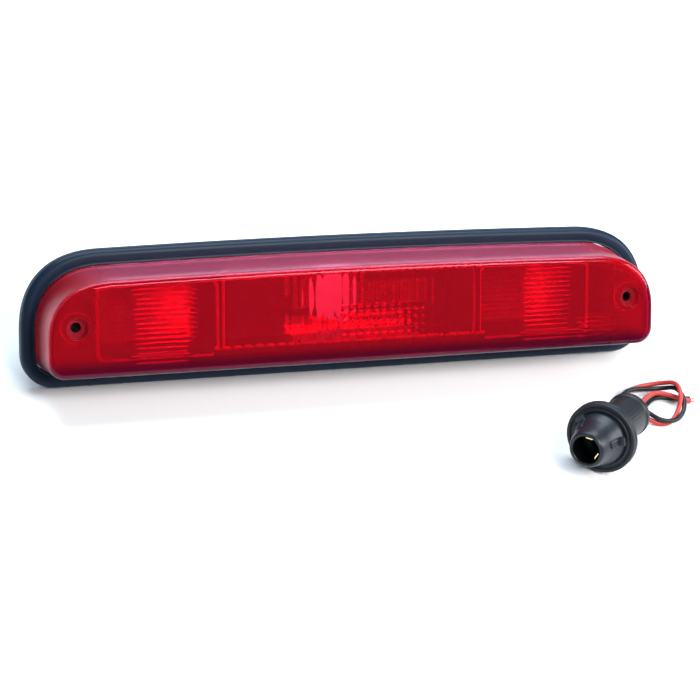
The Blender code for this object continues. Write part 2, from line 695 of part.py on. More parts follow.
def build_contact(name, angle, parent):
    """Brass strip: crimp, straight leaf through the carrier and a sprung tip that bends inwards."""
    half = CONTACT_THICK / 2
    bow, bow_height = CONTACT_BOW
    middle = [
        (CONTACT_RADIUS, -CRIMP_FRONT),
        (CONTACT_RADIUS, CARRIER_TOP),
        (CONTACT_RADIUS - bow, CARRIER_TOP + bow_height),
        (CONTACT_RADIUS + CONTACT_FLARE, CONTACT_TIP),
    ]
    outer = [(radius + half, height) for radius, height in reversed(middle)]
    inner = [(radius - half, height) for radius, height in middle]
    crimp = [
        (CONTACT_RADIUS + half, -CRIMP_REAR),
        (CRIMP_RADIUS - CRIMP_HALF, -CRIMP_REAR),
        (CRIMP_RADIUS - CRIMP_HALF, -CRIMP_FRONT),
    ]
    curve = bpy.data.curves.new(name, "CURVE")
    curve.dimensions = "2D"
    curve.fill_mode = "BOTH"
    curve.extrude = CONTACT_WIDTH / 2
    points = outer + crimp + inner
    spline = curve.splines.new("POLY")
    spline.points.add(len(points) - 1)
    for point, (radius, height) in zip(spline.points, points):
        point.co = (radius, height, 0, 1)
    spline.use_cyclic_u = True
    made = add_object(name, curve, PARTS, parent, material(f"{name}_brass", (0.75, 0.58, 0.28), 0.3, 1.0))
    made.matrix_local = contact_turn(angle) @ Matrix.Rotation(math.radians(90), 4, "X")


def build_boot(parent):
    """Rubber cap over the neck, closed round the two wires."""
    inwards, forwards = BOOT_ROUND
    profile = [
        (BOOT_RADIUS - BOOT_LIP, -BOOT_START),
        (BOOT_RADIUS - BOOT_TAPER, -BOOT_START - BOOT_LIP),
        (BOOT_RADIUS, -BOOT_END + forwards),
        (BOOT_RADIUS - 0.3 * inwards, -BOOT_END + 0.4 * forwards),
        (BOOT_RADIUS - inwards, -BOOT_END),
        (WIRE_HOLE, -BOOT_END),
        (WIRE_HOLE, -NECK_END - GAP),
        (NECK_RADIUS + GAP, -NECK_END - GAP),
        (NECK_RADIUS + GAP, -BOOT_START),
    ]
    turned("rear_boot", profile, material("boot_rubber", (0.012, 0.012, 0.014), 0.3), parent)


def socket_axis():
    flat = math.cos(SOCKET_PITCH)
    x = -math.sin(SOCKET_HEADING) * flat
    y = -math.cos(SOCKET_HEADING) * flat
    return Vector((x, y, math.sin(SOCKET_PITCH)))


def socket_exit():
    """The middle of the boot's rear face, above the ground by the boot's share of the flange's height."""
    front_height = FLANGE_RADIUS * math.cos(SOCKET_PITCH)
    height = front_height - (BOOT_END - SEAL_THICK - FLANGE_THICK) * math.sin(SOCKET_PITCH)
    return Vector((EXIT_X, EXIT_Y, height))


def socket_place():
    """Lays the socket on its flange's rear edge and its boot. Its origin is on its flange's face."""
    axis = socket_axis()
    side = Vector((0, 0, 1)).cross(axis).normalized()
    up = axis.cross(side)
    turn = Matrix((side, up, axis)).transposed().to_4x4()
    return Matrix.Translation(socket_exit() + BOOT_END * axis) @ turn


# Wires


def catmull(points, count):
    """Points at even steps of a smooth curve through the given ones."""
    padded = [2 * points[0] - points[1]] + points + [2 * points[-1] - points[-2]]
    spans = len(points) - 1
    fine = []
    for span in range(spans):
        a, b, c, d = padded[span : span + 4]
        for step in range(WIRE_SPAN_STEPS):
            t = step / WIRE_SPAN_STEPS
            square = 2 * a - 5 * b + 4 * c - d
            cube = 3 * b - a - 3 * c + d
            fine.append(0.5 * (2 * b + (c - a) * t + square * t**2 + cube * t**3))
    fine.append(points[-1])
    lengths = [0.0]
    for first, second in zip(fine, fine[1:]):
        lengths.append(lengths[-1] + (second - first).length)
    even = []
    index = 0
    for step in range(count):
        wanted = lengths[-1] * step / (count - 1)
        while index < len(fine) - 2 and lengths[index + 1] < wanted:
            index += 1
        share = (wanted - lengths[index]) / (lengths[index + 1] - lengths[index])
        even.append(fine[index].lerp(fine[index + 1], share))
    return even


def pair_middle():
    """The twisted pair's middle from inside the boot to its free end."""
    axis = socket_axis()
    exit_point = socket_exit()
    inside = [exit_point + axis * (BOOT_END - NECK_END), exit_point]
    return catmull(inside + [Vector(point) for point in PAIR_ROUTE], WIRE_POINTS)


def twisted(middle, phase):
    """One wire of the pair, which turns about their middle at an even rate."""
    points = []
    for index, point in enumerate(middle):
        ahead = middle[min(index + 1, len(middle) - 1)] - middle[max(index - 1, 0)]
        side = Vector((0, 0, 1)).cross(ahead).normalized()
        up = ahead.cross(side).normalized()
        angle = phase + 2 * math.pi * PAIR_TWISTS * index / (len(middle) - 1)
        points.append(point + PAIR_HALF * (math.cos(angle) * side + math.sin(angle) * up))
    return points


def build_wires(parent):
    """Insulated wires from their crimps, through the boot and along the ground, with bare copper ends."""
    middle = pair_middle()
    colours = (("red_wire", (0.6, 0.05, 0.04)), ("black_wire", (0.01, 0.01, 0.01)))
    for index, (name, colour) in enumerate(colours):
        to_crimp = socket_place() @ contact_turn(CONTACT_ANGLES[index])
        behind = (-CRIMP_REAR - GAP, -CRIMP_REAR - WIRE_STRAIGHT)
        straight = [to_crimp @ Vector((CRIMP_RADIUS, 0, height)) for height in behind]
        points = straight + twisted(middle, PAIR_PHASE + math.pi * index)
        curve = bpy.data.curves.new(name, "CURVE")
        curve.dimensions = "3D"
        curve.bevel_depth = WIRE_RADIUS
        curve.bevel_resolution = WIRE_BEVEL
        curve.use_fill_caps = True
        spline = curve.splines.new("POLY")
        spline.points.add(len(points) - 1)
        for spot, point in zip(spline.points, points):
            spot.co = (*point, 1)
        add_object(name, curve, PARTS, parent, material(f"{name}_insulation", colour, 0.4))
        heading = (points[-1] - points[-2]).normalized()
        centre = points[-1] + heading * (GAP + CONDUCTOR_LENGTH / 2)
        place = Matrix.Translation(centre) @ heading.to_track_quat("Z", "Y").to_matrix().to_4x4()
        bm = round_bar(CONDUCTOR_RADIUS, CONDUCTOR_LENGTH, place, CONDUCTOR_SIDES)
        tip = f"{name}_conductor"
        copper = material(f"{tip}_copper", (0.8, 0.42, 0.25), 0.35, 1.0)
        add_object(tip, mesh_from(bm, tip), PARTS, parent, copper)


def main():
    lamp = bpy.data.objects.new("lamp_frame", None)
    socket = bpy.data.objects.new("socket_frame", None)
    for empty, place in ((lamp, lamp_place()), (socket, socket_place())):
        PARTS.objects.link(empty)
        empty.matrix_world = place
    build_gasket(lamp)
    build_lens(lamp)
    build_sealant(lamp)
    build_housing(lamp)
    build_reflectors(lamp)
    build_bead_strip(lamp)
    build_well_seals(lamp)
    build_vent(lamp)
    build_socket_body(socket)
    build_socket_seal(socket)
    build_carrier(socket)
    for name, angle in zip(("red_side_contact", "black_side_contact"), CONTACT_ANGLES):
        build_contact(name, angle, socket)
    build_boot(socket)
    build_wires(None)


for old in list(bpy.data.objects):
    bpy.data.objects.remove(old, do_unlink=True)
PARTS = collection_named("third_brake_light")
CUTTERS = collection_named("cutters")
main()
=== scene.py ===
"""Looks of a third brake light and its loose bulb socket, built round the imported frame.

Shapes are worked out in millimetres. A lamp piece is drawn in the lamp's own frame (X along its length,
-Y out through its lens, +Z up, with the gasket's front plane at y = 0) and a socket piece about its own
axis, with +Z out of its mouth. Each is then put where the frame says, in metres.
"""

import math

import bmesh
import bpy
import numpy as np
from bpy.props import FloatProperty, FloatVectorProperty, PointerProperty
from mathutils import Matrix, Vector


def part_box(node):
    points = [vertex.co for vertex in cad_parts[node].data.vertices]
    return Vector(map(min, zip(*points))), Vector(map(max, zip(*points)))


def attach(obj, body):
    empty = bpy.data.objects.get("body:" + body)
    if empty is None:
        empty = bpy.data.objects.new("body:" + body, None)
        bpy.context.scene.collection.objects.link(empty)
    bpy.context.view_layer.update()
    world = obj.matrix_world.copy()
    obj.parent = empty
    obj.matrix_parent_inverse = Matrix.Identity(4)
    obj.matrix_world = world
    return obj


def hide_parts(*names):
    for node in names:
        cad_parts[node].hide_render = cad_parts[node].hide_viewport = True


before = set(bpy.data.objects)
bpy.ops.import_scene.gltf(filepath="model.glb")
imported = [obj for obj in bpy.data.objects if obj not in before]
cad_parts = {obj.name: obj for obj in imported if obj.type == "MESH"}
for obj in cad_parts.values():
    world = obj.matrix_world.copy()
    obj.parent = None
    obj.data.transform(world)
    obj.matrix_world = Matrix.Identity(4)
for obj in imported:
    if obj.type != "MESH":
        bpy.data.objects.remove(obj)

bl_info = {
    "name": "Third Brake Light",
    "version": (1, 0, 0),
    "blender": (4, 5, 0),
    "location": "3D View > Sidebar > Brake Light",
    "description": "Builds the visual pieces of a third brake light round its packed frame",
    "category": "Add Mesh",
}

MM = 0.001
TURN = 2 * math.pi
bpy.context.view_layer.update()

# Lamp outline, as the frame has it
LENGTH = 380.0
HEIGHT = 79.0
UPPER_CORNER = (50.0, 48.0)
CORNER_FULLNESS = 2.5
LOWER_CORNER = 19.0
TOP_CROWN = 1.5
CLEAR = 0.3  # between pieces that touch
LEAN = math.atan2(15.0, 28.5)
TUB_REAR = 38.0
TUB_REAR_TOP = 23.0
GASKET_DEPTH = 8.0
GASKET_INSETS = np.array((7.4, 8.5, 8.5))  # ends, top, bottom
LENS_INSETS = GASKET_INSETS + CLEAR
LENS_DRAFTS = np.array((1.4, 3.3, 1.9))
LENS_PROUD = 34.0
LENS_WALL = 2.5
LENS_FOOT = 1.8
LENS_EDGE = 3.2
LENS_STEP = 0.45  # how far the wall is set in above its foot
FACE_MIDDLE = -2.6
FACE_HALF = (180.0, 29.0)
FAN_CENTRE = (138.0, -10.0)  # of the ribs that turn round each upper corner
UPRIGHT_PITCH = 4.7
LEVEL_PITCH = 2.75
PILLOW_PITCH = 4.4
SCREW_X = 164.6
WELL_FLOOR = -29.5
WELL_FOOT = -27.0
BOSS_FRONT = -25.2
BOSS_RADIUS = 8.0
BOSS_BORE = 3.0
RIM_FRONT = 4.3
LIP_FRONT = 0.6
LIP_WALL = 1.6
TUB_INSET = 14.0
TUB_DRAFT = 1.0
HOUSING_WALL = 2.2
BULB_HOLE = 14.5
PORT_RADIUS = 15.7
PORT_NOTCH = PORT_RADIUS + 1.9
PORT_NOTCH_WIDTH = 5.6
VENT = (110.0, 8.0)
VENT_HOLE = 2.9
REFLECTOR_FRONT = -7.0
REFLECTOR_BACK = 30.0
SIDE_BACK = 21.0
REFLECTOR_WALL = 1.8
BEAD_PITCH = 6.5

# Socket, as the frame has it
MOUTH_RADIUS = 8.0
NOSE_LENGTH = 20.0
NOSE_RIM = 9.75
CONE_RADIUS = 15.4
FLANGE_RADIUS = 20.7
FLANGE_THICK = 3.1
SEAL_THICK = 2.6
NECK_RADIUS = 10.5
NECK_END = 31.0
BORE_DEPTH = 8.0
WIRE_BORE = 6.8
BOOT_RADIUS = 13.1
BOOT_START = 12.0
BOOT_END = 45.5
WIRE_HOLE = 3.4
LUG_ANGLE = math.radians(147)
CONTACT_ANGLES = (math.radians(100), math.radians(-15))
CRIMP_RADIUS = 4.8
CRIMP_REAR = 16.0
SOCKET_HEADING = math.radians(48.5)
SOCKET_PITCH = math.asin((FLANGE_RADIUS - BOOT_RADIUS) / (BOOT_END - SEAL_THICK - FLANGE_THICK))
EXIT_POINT = (153.0, -39.3)

# Wires
WIRE_RADIUS = 1.4
PAIR_HALF = 1.55
PAIR_TWISTS = 2.25
PAIR_PHASE = math.radians(80)
WIRE_STRAIGHT = 3.0
STRAND_LENGTH = 3.0
STRAND_RADIUS = 0.2
WIRE_SIDES = 20
WIRE_POINTS = 260
# The middle of the twisted pair after it leaves the boot, in metres, as the frame has it
PAIR_ROUTE = (
    (0.1576, -0.0353, 0.0113),
    (0.1626, -0.0331, 0.0080),
    (0.1682, -0.0347, 0.0048),
    (0.1735, -0.0383, 0.0033),
    (0.1795, -0.0396, 0.0031),
    (0.1856, -0.0370, 0.0034),
    (0.1903, -0.0320, 0.0056),
    (0.1929, -0.0259, 0.0087),
    (0.1936, -0.0194, 0.0097),
    (0.1926, -0.0132, 0.0083),
    (0.1886, -0.0090, 0.0051),
    (0.1825, -0.0072, 0.0033),
    (0.1755, -0.0073, 0.0031),
    (0.1685, -0.0086, 0.0031),
    (0.1622, -0.0120, 0.0031),
    (0.1586, -0.0174, 0.0031),
    (0.1596, -0.0230, 0.0031),
    (0.1650, -0.0250, 0.0031),
    (0.1706, -0.0222, 0.0031),
    (0.1760, -0.0177, 0.0031),
    (0.1824, -0.0153, 0.0031),
    (0.1890, -0.0167, 0.0031),
    (0.1953, -0.0194, 0.0031),
    (0.2015, -0.0214, 0.0031),
)

# Camera, square to the lamp's upright
CAMERA_YAW = math.radians(18.0)
CAMERA_RISE = math.radians(9.9)
CAMERA_DISTANCE = 1.220
CAMERA_LENS = 108.0
CAMERA_SHIFT = (0.0043, -0.067)


# Places


def lamp_place():
    """Rotation and origin (m) of the lamp, leaned back, with its rear edge where the housing's box ends."""
    c, s = math.cos(LEAN), math.sin(LEAN)
    turn = np.array(((1, 0, 0), (0, c, s), (0, -s, c)))
    rear = TUB_REAR * c + TUB_REAR_TOP * s
    height = GASKET_DEPTH * s + HEIGHT / 2 * c
    origin = np.array((0.0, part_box("housing")[1].y - rear * MM, height * MM))
    return turn, origin


def socket_place():
    """Rotation and origin (m) of the socket, which lies on its flange's edge and its boot."""
    flat = math.cos(SOCKET_PITCH)
    axis = np.array(
        (
            -math.sin(SOCKET_HEADING) * flat,
            -math.cos(SOCKET_HEADING) * flat,
            math.sin(SOCKET_PITCH),
        )
    )
    side = np.cross((0, 0, 1), axis)
    side /= np.linalg.norm(side)
    turn = np.column_stack((side, np.cross(axis, side), axis))
    arm = BOOT_END - SEAL_THICK - FLANGE_THICK
    height = FLANGE_RADIUS * flat - arm * math.sin(SOCKET_PITCH)
    exit_point = np.array((*EXIT_POINT, height)) * MM
    return turn, exit_point + BOOT_END * MM * axis, exit_point


LAMP_TURN, LAMP_ORIGIN = lamp_place()
SOCKET_TURN, SOCKET_ORIGIN, WIRE_EXIT = socket_place()


def on_lamp(points):
    """The lamp's own millimetres to the scene's metres."""
    return np.asarray(points) * MM @ LAMP_TURN.T + LAMP_ORIGIN


def on_socket(points):
    """The socket's own millimetres to the scene's metres."""
    return np.asarray(points) * MM @ SOCKET_TURN.T + SOCKET_ORIGIN


def on_floor(points):
    return np.asarray(points) * MM


def in_metres(points):
    """For the wires, whose points are in the scene's metres from the start."""
    return points


# Surfaces


class Skin:
    """Points and faces gathered from grids and loops, which share their indices where they meet."""

    def __init__(self):
        self.points = []
        self.quads = []
        self.fans = []
        self.count = 0

    def add(self, points):
        """Adds an array of points and returns their indices in the same arrangement."""
        points = np.asarray(points, float)
        index = np.arange(self.count, self.count + points[..., 0].size)
        self.count += index.size
        self.points.append(points.reshape(-1, 3))
        return index.reshape(points.shape[:-1])

    def sheet(self, index, windows=()):
        """Faces over a grid of indices, except inside the windows (first and last column and row)."""
        keep = np.ones((index.shape[0] - 1, index.shape[1] - 1), bool)
        for left, right, low, high in windows:
            keep[left:right, low:high] = False
        corners = (index[:-1, :-1], index[1:, :-1], index[1:, 1:], index[:-1, 1:])
        self.quads.append(np.stack(corners, -1)[keep])

    def band(self, rows, closed=False):
        """Faces between loops that follow each other. Closed joins the last to the first."""
        rows = np.asarray(rows)
        if closed:
            rows = np.vstack((rows, rows[:1]))
        ahead = np.roll(rows, -1, axis=1)
        corners = (rows[:-1], ahead[:-1], ahead[1:], rows[1:])
        self.quads.append(np.stack(corners, -1).reshape(-1, 4))

    def cap(self, loop, centre):
        """Closes a loop with triangles that meet at a centre."""
        middle = self.add(np.reshape(centre, (1, 3)))
        around = np.full(len(loop), middle[0])
        self.fans.append(np.stack((loop, np.roll(loop, -1), around), -1))

    def mesh(self, name, place, sharp=38.0):
        """Makes the mesh in its place. Its attribute "drawn" keeps the points as given, times MM."""
        points = np.vstack(self.points)
        quads = np.vstack(self.quads) if self.quads else np.zeros((0, 4), int)
        fans = np.vstack(self.fans) if self.fans else np.zeros((0, 3), int)
        made = bpy.data.meshes.new(name)
        made.vertices.add(len(points))
        made.vertices.foreach_set("co", place(points).ravel())
        made.loops.add(quads.size + fans.size)
        made.loops.foreach_set("vertex_index", np.concatenate((quads.ravel(), fans.ravel())))
        made.polygons.add(len(quads) + len(fans))
        sizes = np.concatenate((np.full(len(quads), 4), np.full(len(fans), 3)))
        made.polygons.foreach_set("loop_start", np.concatenate(((0,), np.cumsum(sizes)[:-1])))
        made.update(calc_edges=True)
        drawn = made.attributes.new("drawn", "FLOAT_VECTOR", "POINT")
        drawn.data.foreach_set("vector", (points * MM).ravel())
        bm = bmesh.new()
        bm.from_mesh(made)
        bmesh.ops.recalc_face_normals(bm, faces=bm.faces)
        bm.to_mesh(made)
        bm.free()
        made.shade_smooth()
        made.set_sharp_from_angle(angle=math.radians(sharp))
        return made


def edge_of(grid):
    """Values round a grid's edge: bottom row, right column, top row, then left column."""
    return np.concatenate((grid[:-1, 0], grid[-1, :-1], grid[:0:-1, -1], grid[0, :0:-1]))


def panel_grid(t, rows):
    """Shares along and up a panel, as two grids and as two loops round its edge."""
    grids = np.meshgrid(t, np.linspace(0, 1, rows), indexing="ij")
    return grids, [edge_of(grid) for grid in grids]


def window_round(x, z, centre, reach):
    """First and last column, then row, of the grid lines that pass within reach of a centre."""
    near = np.flatnonzero(np.abs(x[:, 0] - centre[0]) < reach[0])
    middle = np.argmin(np.abs(x[:, 0] - centre[0]))
    level = np.flatnonzero(np.abs(z[middle] - centre[1]) < reach[1])
    return near[0], near[-1], max(level[0], 1), min(level[-1], z.shape[1] - 2)


def cut_out(window):
    """The slices of a grid that a window spans."""
    first, last, low, high = window
    return slice(first, last + 1), slice(low, high + 1)


def bearing(x, z, centre):
    """Angles about a centre of the points round a grid's edge."""
    return np.arctan2(edge_of(z) - centre[1], edge_of(x) - centre[0])


def ring_round(centre, theta, radius, y):
    """Points at the angles theta about a centre, at a radius and a depth y, which may change round it."""
    x = centre[0] + radius * np.cos(theta)
    z = centre[1] + radius * np.sin(theta)
    return np.stack((x, np.broadcast_to(y, x.shape), z), -1)


class Panel:
    """A flat shape with rounded lower corners, elliptical upper corners and a slightly crowned top."""

    def __init__(self, half, low, top, foot, corner, crown=0.0, centre=0.0, fullness=2.0):
        self.half = half
        self.low = low
        self.top = top
        self.foot = foot
        self.corner = corner
        self.crown = crown
        self.centre = centre
        self.fullness = fullness

    def spread(self, t, v):
        """x and z of the points a share t (-1 to 1) along it and v (0 to 1) of the way up it.

        The lower edge is a circle's arc near each end. The upper edge drops by the crown times the
        square of its share of the way to the shoulder, and then follows a quarter of an ellipse, or of
        the squarer curve whose two shares, each raised to the fullness, add up to one.
        """
        x = t * self.half
        wide, high = self.corner
        shoulder = self.half - wide
        into_foot = np.clip((np.abs(x) - self.half + self.foot) / self.foot, 0, 1)
        into_corner = np.clip((np.abs(x) - shoulder) / wide, 0, 1)
        low = self.low + self.foot * (1 - np.sqrt(1 - into_foot**2))
        drop = self.crown * np.clip(np.abs(x) / shoulder, 0, 1) ** 2
        top = self.top - drop - high * (1 - (1 - into_corner**self.fullness) ** (1 / self.fullness))
        return x + self.centre, low + (top - low) * v

    def ring(self, t, v, y):
        x, z = self.spread(t, v)
        return np.stack((x, np.broadcast_to(y, x.shape), z), -1)


def lamp_panel(insets):
    """The lamp's outline drawn in by (ends, top, bottom) insets."""
    end_in, top_in, low_in = insets
    foot = max(LOWER_CORNER - min(end_in, low_in), 1.0)
    corner = (UPPER_CORNER[0] - end_in, UPPER_CORNER[1] - top_in)
    low, top = -HEIGHT / 2 + low_in, HEIGHT / 2 - top_in
    return Panel(LENGTH / 2 - end_in, low, top, foot, corner, TOP_CROWN, 0.0, CORNER_FULLNESS)


def columns(share, middle, corner):
    """Shares along a panel: even between -share and share, and closer and closer towards its ends."""
    arc = np.sin(np.linspace(0, math.pi / 2, corner + 1)[1:])
    right = share + (1 - share) * arc
    return np.concatenate((-right[::-1], np.linspace(-share, share, middle), right))


def filleted(profile, radius, steps=4):
    """A closed profile with each corner rounded by an arc, no larger than a third of its sides allow.

    Each corner is replaced by points on the quadratic curve from one tangent point to the other.
    """
    profile = np.asarray(profile, float)
    before = np.roll(profile, 1, axis=0) - profile
    after = np.roll(profile, -1, axis=0) - profile
    reach = np.minimum(np.linalg.norm(before, axis=1), np.linalg.norm(after, axis=1)) / 3
    reach = np.minimum(reach, radius)[:, None]
    start = profile + before / np.linalg.norm(before, axis=1)[:, None] * reach
    end = profile + after / np.linalg.norm(after, axis=1)[:, None] * reach
    t = np.linspace(0, 1, steps)[None, :, None]
    curve = (1 - t) ** 2 * start[:, None] + 2 * t * (1 - t) * profile[:, None] + t**2 * end[:, None]
    return curve.reshape(-1, 2)


def turned(profile, sides, swell=None):
    """A body of revolution about +Z from a closed (radius, height) profile.

    Swell takes angle, height and radius, and gives the factor on the radius.
    """
    angle = np.arange(sides) * TURN / sides
    radius = profile[:, :1] * np.ones(sides)
    height = profile[:, 1:] * np.ones(sides)
    if swell is not None:
        radius = radius * swell(angle[None, :], height, radius)
    skin = Skin()
    points = np.stack((radius * np.cos(angle), radius * np.sin(angle), height), -1)
    skin.band(skin.add(points), closed=True)
    return skin


def lozenge(skin, centre, axes, halves, power=0.35, steps=14):
    """A rounded box: a sphere's sines and cosines raised to a power below one, times half its sizes."""

    def bend(value):
        return np.sign(value) * np.abs(value) ** power

    rise = np.linspace(-math.pi / 2, math.pi / 2, steps + 1)[1:-1, None]
    around = (np.arange(2 * steps) * TURN / (2 * steps))[None, :]
    x = bend(np.cos(rise)) * bend(np.cos(around))
    y = bend(np.cos(rise)) * bend(np.sin(around))
    z = bend(np.sin(rise)) * np.ones_like(around)
    rows = skin.add(np.stack((x, y, z), -1) * halves @ axes + centre)
    skin.band(rows)
    skin.cap(rows[0], centre - halves[2] * axes[2])
    skin.cap(rows[-1], centre + halves[2] * axes[2])


def show(name, mesh, body, finish, node):
    """Puts a mesh in the scene as a piece that rides on a body and stands for a CAD node."""
    piece = bpy.data.objects.new(name, mesh)
    bpy.context.scene.collection.objects.link(piece)
    mesh.materials.append(finish)
    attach(piece, body)
    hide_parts(node)
    return piece


def dress(name, finish):
    """Gives a finish to a node of the frame that keeps its shape."""
    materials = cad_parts[name].data.materials
    materials.clear()
    materials.append(finish)


# Finishes


class Value:
    """A socket of a finish's node tree, which takes part in Python arithmetic."""

    def __init__(self, finish, socket):
        self.finish = finish
        self.socket = socket

    def math(self, operation, *others):
        values = dict(enumerate((self, *others)))
        return self.finish.make("ShaderNodeMath", {"operation": operation}, values)

    def __add__(self, other):
        return self.math("ADD", other)

    def __sub__(self, other):
        return self.math("SUBTRACT", other)

    def __mul__(self, other):
        return self.math("MULTIPLY", other)

    def __rsub__(self, other):
        return self.finish.make("ShaderNodeMath", {"operation": "SUBTRACT"}, {0: other, 1: self})

    __radd__ = __add__
    __rmul__ = __mul__

    def step(self, low, high):
        """0 below low, 1 above high and smooth between."""
        values = {"Value": self, "From Min": low, "From Max": high}
        return self.finish.make("ShaderNodeMapRange", {"interpolation_type": "SMOOTHSTEP"}, values)

    def ribs(self, pitch):
        """The size of the sine of half a turn for each pitch, as the modelled ribs have it."""
        return (self * (math.pi / pitch)).math("SINE").math("ABSOLUTE")

    def within(self, low, high, soft):
        """1 between low and high, and 0 outside them by more than soft."""
        return self.step(low - soft, low + soft) * (1 - self.step(high - soft, high + soft))


class Finish:
    """A material with one Principled shader, and the few ways in which this lamp's finishes vary."""

    def __init__(self, name, attribute="drawn", **constants):
        self.material = bpy.data.materials.new(name)
        self.material.use_nodes = True
        self.tree = self.material.node_tree
        self.shader = self.tree.nodes["Principled BSDF"]
        for key, value in constants.items():
            self.shader.inputs[key.replace("_", " ")].default_value = value
        if attribute is None:
            self.place = self.make("ShaderNodeTexCoord", output="Object")
        else:
            settings = {"attribute_name": attribute}
            self.place = self.make("ShaderNodeAttribute", settings, output="Vector")

    def make(self, kind, settings=None, values=None, output=0):
        """Adds a node: its settings are set first, then its inputs are given numbers or links."""
        node = self.tree.nodes.new(kind)
        for key, value in (settings or {}).items():
            setattr(node, key, value)
        for key, value in (values or {}).items():
            self.feed(node.inputs[key], value)
        return Value(self, node.outputs[output])

    def feed(self, socket, value):
        if isinstance(value, Value):
            self.tree.links.new(value.socket, socket)
        else:
            socket.default_value = value

    def axes(self):
        node = self.make("ShaderNodeSeparateXYZ", values={"Vector": self.place})
        return [Value(self, output) for output in node.socket.node.outputs]

    def noise(self, scale, detail=3.0, stretch=(1, 1, 1)):
        """Noise with this many grains to the metre, squeezed along the axes by stretch."""
        mapping = self.make("ShaderNodeMapping", values={"Vector": self.place, "Scale": stretch})
        return self.make(
            "ShaderNodeTexNoise", values={"Vector": mapping, "Scale": scale, "Detail": detail}
        )

    def mix(self, share, first, second):
        """From the first colour to the second."""
        settings = {"data_type": "RGBA"}
        return self.make("ShaderNodeMix", settings, {0: share, 6: first, 7: second}, output=2)

    def set(self, **values):
        for key, value in values.items():
            self.feed(self.shader.inputs[key.replace("_", " ")], value)

    def bump(self, height, depth, strength=1.0):
        """Bumps of this depth in metres where height is 1."""
        values = {"Height": height, "Distance": depth, "Strength": strength}
        self.set(Normal=self.make("ShaderNodeBump", values=values))


def rgb(colour, factor=1.0):
    return (*(channel * factor for channel in colour), 1.0)


def lens_finish(colours):
    """Clear red acrylic. Its upper side is hazed and its front is polished, with faint smears. Its walls are
    painted with a pale sheen, most on the upper side, and painted shade deepens the red low down and at its
    right end.
    """
    finish = Finish(
        "lens_acrylic",
        IOR=1.49,
        Transmission_Weight=0.85,
        Specular_IOR_Level=0.5,
        Specular_Tint=(1.0, 0.3, 0.42, 1.0),
    )
    x, y, z = finish.axes()
    # The walls' colour is mixed towards a pale pink, most on the upper side: a painted sheen. Their extra
    # roughness is real.
    wall = y.step(-0.0330, -0.0312)
    haze_and_painted_sheen = wall * (0.35 + 0.65 * z.step(0.0215, 0.0265))
    ends = wall * x.math("ABSOLUTE").step(0.135, 0.165)
    # Painted shade: the red deepens low on the lens and at its right end.
    painted_shade = (1 - z.step(-0.0265, -0.0155)).math("MAXIMUM", x.step(0.168, 0.180) * 0.7)
    smears = finish.noise(60, 4, (1, 1, 3))
    deep = rgb(colours.lens)
    pale = rgb(colours.lens_painted_sheen)
    clear = finish.mix(haze_and_painted_sheen * (0.85 - 0.6 * ends) + smears * 0.04, deep, pale)
    finish.set(
        Base_Color=finish.mix(painted_shade * 0.95, clear, rgb(colours.lens_painted_shade)),
        Roughness=0.015 + 0.035 * smears + 0.14 * haze_and_painted_sheen + 0.26 * ends,
    )
    finish.bump(finish.noise(45, 2), 0.00003)
    return finish.material


def mirror_finish(name, shade):
    """Vacuum-metallised plastic with a fine satin. Its colour is painted light and dark by shade, and its rim
    is left without metal and pale, a painted highlight line.
    """
    finish = Finish(name)
    x, y, z = finish.axes()
    grain = finish.noise(900, 2)
    # The front rim is painted pale and left without metal: a painted highlight line.
    rim = 1 - y.step(-0.0068, -0.0060)
    # Painted light and shade: the base colour runs from dark to bright as shade says.
    level = shade(x, y, z).math("MAXIMUM", rim * 0.8)
    finish.set(
        Base_Color=finish.mix(level, (0.03, 0.027, 0.027, 1), (0.97, 0.96, 0.95, 1)),
        Metallic=1 - rim * 0.9,
        Roughness=0.20 + 0.12 * grain + 0.35 * (1 - y.step(0.0150, 0.0175)),
    )
    finish.bump(finish.noise(260, 3), 0.00004)
    return finish.material


def rubber_finish(name, colour, roughness, depth=0.00008, dust=0.10, attribute="drawn", shine=0.3):
    """Moulded rubber: uneven black with a bloom of pale dust in its hollows, and a fine pebbled skin."""
    finish = Finish(name, attribute, Specular_IOR_Level=shine)
    cloud = finish.noise(38, 5)
    pebble = finish.noise(1500, 3)
    bloom = finish.noise(140, 6).step(0.52, 0.75)
    finish.set(
        Base_Color=finish.mix(bloom * dust + cloud * 0.12, rgb(colour), rgb(colour, 3.2)),
        Roughness=roughness - 0.08 + 0.16 * cloud + 0.05 * pebble,
    )
    finish.bump(pebble * 0.7 + cloud * 0.8, depth)
    return finish.material


def moulded_finish(name, colour, roughness, grain=700, depth=0.00006, attribute="drawn", bore=None):
    """Injection-moulded plastic with spark-eroded grain and flow marks, and painted shade inside a bore's
    radius.
    """
    finish = Finish(name, attribute, Specular_IOR_Level=0.3)
    flow = finish.noise(25, 4, (1, 1, 3))
    fine = finish.noise(grain, 4)
    plain = finish.mix(flow * 0.5 + fine * 0.2, rgb(colour, 0.8), rgb(colour, 1.7))
    # Painted shade: inside the bore's radius the colour is near black.
    if bore is not None:
        x, y, _ = finish.axes()
        radius = (x * x + y * y).math("SQRT")
        plain = finish.mix(radius.step(bore - 0.0001, bore + 0.0005), (0.001, 0.001, 0.001, 1), plain)
    finish.set(
        Base_Color=plain,
        Roughness=roughness + 0.14 * (fine - 0.5) + 0.10 * (flow - 0.5),
    )
    finish.bump(fine, depth)
    return finish.material


